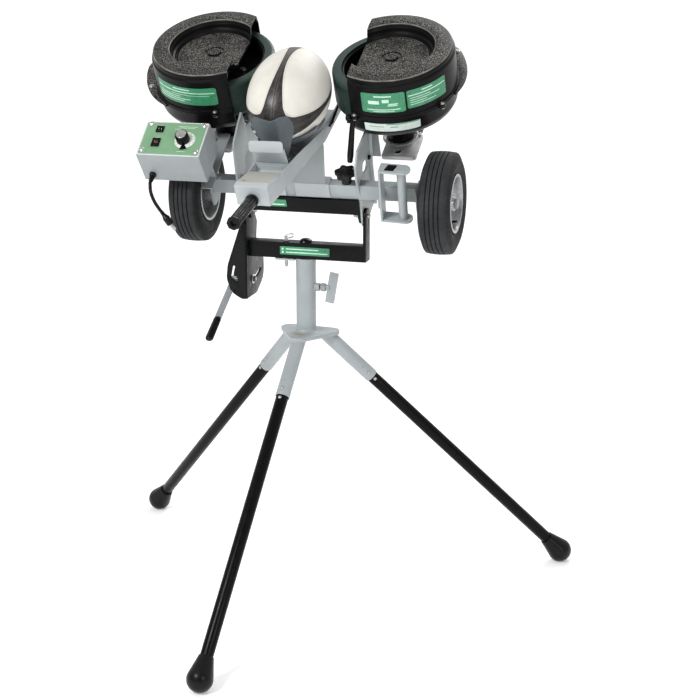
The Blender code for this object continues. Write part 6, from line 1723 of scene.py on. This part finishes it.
gland = Piece("gland_dressed", PANEL @ shift(GLAND_AT[0], -PANEL_HALF_Y, GLAND_AT[1]) @ turn(90, "X"))
gland_profile = [(0.0, GAP), (0.0082, GAP, 0.0008), (0.0082, 0.0055, 0.0014), (0.0066, 0.0075)]
for k in range(5):
    z = 0.0085 + 0.0026 * k
    radius = 0.0064 - 0.00024 * k
    gland_profile += [
        (radius, z, 0.0002), (radius, z + 0.0013, 0.0002), (radius - 0.0008, z + 0.0016),
        (radius - 0.0008, z + 0.0025),
    ]
gland_profile += [(0.005, GLAND_LENGTH, 0.0004), (0.0, GLAND_LENGTH)]
gland.add(turned(gland_profile, 3, 48), RUBBER)
gland.done("cord_gland", "black_rubber")

# Plain plates with plain stripes


def on_cylinder(matrix, radius, first, last, high, low, radius_low=None):
    def quad(u, v, lift):
        angle = radians(first + (last - first) * u)
        r = (radius if radius_low is None else radius_low + (radius - radius_low) * v) + lift
        return matrix @ Vector((r * cos(angle), r * sin(angle), low + (high - low) * v))

    return quad


def on_plane(matrix, x0, x1, z0, z1, y):
    def quad(u, v, lift):
        return matrix @ Vector((x0 + (x1 - x0) * u, y - lift, z0 + (z1 - z0) * v))

    return quad


WALL = GUARD_RADIUS + 0.0002
TEXT_ROWS = [(0.84, 0.035, 0.3, 0.7), (0.16, 0.025, 0.12, 0.88), (0.07, 0.018, 0.25, 0.75)]
BLOCK_ROWS = [(0.53, 0.1, 0.16, 0.42), (0.6, 0.09, 0.48, 0.64), (0.44, 0.03, 0.62, 0.84), (0.36, 0.025, 0.6, 0.82)]
LINE_ROWS = [
    (0.86, 0.03, 0.34, 0.62), (0.7, 0.028, 0.03, 0.97), (0.55, 0.018, 0.06, 0.55), (0.43, 0.018, 0.06, 0.8),
    (0.31, 0.018, 0.06, 0.46), (0.19, 0.018, 0.06, 0.7),
]
stripe_sheet(
    "plate_right_a", TEXT_ROWS + BLOCK_ROWS, "guard_right", (0.07, 0.06),
    on_cylinder(LAUNCH["right"], WALL, -105.6, -66.3, -0.0262, -0.0775),
)
stripe_sheet(
    "plate_right_b", LINE_ROWS, "guard_right", (0.07, 0.06),
    on_cylinder(LAUNCH["right"], WALL, -64.5, -23.8, -0.0262, -0.0735),
)
stripe_sheet(
    "plate_left",
    LINE_ROWS[:2] + [
        (0.42, 0.02, 0.05, 0.45), (0.3, 0.02, 0.05, 0.62), (0.18, 0.02, 0.05, 0.52), (0.55, 0.012, 0.3, 0.9),
    ],
    "guard_left", (0.06, 0.07), on_cylinder(LAUNCH["left"], WALL, -137.7, -72.2, -0.029, -0.075),
)
BOWL_ROWS = [(0.93, 0.09, 0.4, 0.985), (0.62, 0.05, 0.08, 0.36), (0.55, 0.08, 0.46, 0.6)]
stripe_sheet(
    "plate_bowl", BOWL_ROWS, "guard_bowl_right", (0.03, 0.05),
    on_cylinder(LAUNCH["right"], 0.1494, -105.8, -54.6, -0.1085, -0.13, 0.1476), ground="cfdcd6", mark="5d8f7d",
)
YOKE_ROWS = [(0.7, 0.07, 0.12, 0.78), (0.3, 0.07, 0.12, 0.96), (0.7, 0.13, 0.035, 0.075), (0.3, 0.13, 0.035, 0.075)]
stripe_sheet(
    "plate_yoke", YOKE_ROWS, "yoke_frame", (0.012, 0.05), on_plane(STAND, -0.0589, 0.0646, 0.8395, 0.8593, -0.0191),
)
stripe_sheet(
    "plate_crossbar", [(0.3, 0.09, 0.6, 0.95)], "crossbar", (0.012, 0.05),
    on_plane(HEAD, -0.11, -0.0145, 0.03, 0.05, -0.0191),
)

# Floor and light


def make_floor():
    look = Look("floor", 0.7)
    look.colour(look.between((0.9, 0.9, 0.89), (0.93, 0.93, 0.92), 0.8, 3.0))
    look.shader.inputs["Emission Color"].default_value = (1.0, 1.0, 1.0, 1.0)
    far = look.spread(look.size(look.split(look.space())["Y"]), 1.5, 6.0, 0.24, 0.55)
    look.put(look.shader.inputs["Emission Strength"], far)
    bm = bmesh.new()
    bmesh.ops.create_grid(bm, x_segments=8, y_segments=8, size=60.0)
    mesh = finished(bm)
    mesh.materials.append(look.material)
    floor = link("floor", mesh)


make_floor()


def area_light(name, place, aim, size, power):
    data = bpy.data.lights.new(name, "AREA")
    data.shape = "DISK"
    data.size = size
    data.energy = power
    lamp = link(name, data)
    lamp.location = place
    lamp.rotation_euler = (Vector(aim) - Vector(place)).to_track_quat("-Z", "Y").to_euler()


area_light("key", (-1.5, -3.4, 3.6), (0.0, 0.0, 0.8), 1.4, 150.0)
area_light("fill", (3.0, -2.8, 2.0), (0.0, 0.0, 0.9), 1.4, 34.0)
area_light("back", (0.5, 3.0, 3.6), (0.0, 0.0, 1.0), 2.0, 70.0)
world = bpy.data.worlds.new("studio")
world.use_nodes = True
sky = world.node_tree.nodes
sky_links = world.node_tree.links
way = sky.new("ShaderNodeSeparateXYZ")
level = sky.new("ShaderNodeMapRange")
level.interpolation_type = "SMOOTHSTEP"
level.inputs["From Min"].default_value = -0.7
level.inputs["From Max"].default_value = 0.3
level.inputs["To Min"].default_value = 0.3
level.inputs["To Max"].default_value = 0.8
sky_links.new(sky.new("ShaderNodeTexCoord").outputs["Generated"], way.inputs[0])
sky_links.new(way.outputs["Y"], level.inputs["Value"])
sky_links.new(level.outputs["Result"], sky["Background"].inputs["Strength"])
sky["Background"].inputs["Color"].default_value = (1.0, 1.0, 1.0, 1.0)
bpy.context.scene.world = world
bpy.context.scene.view_settings.view_transform = "Standard"
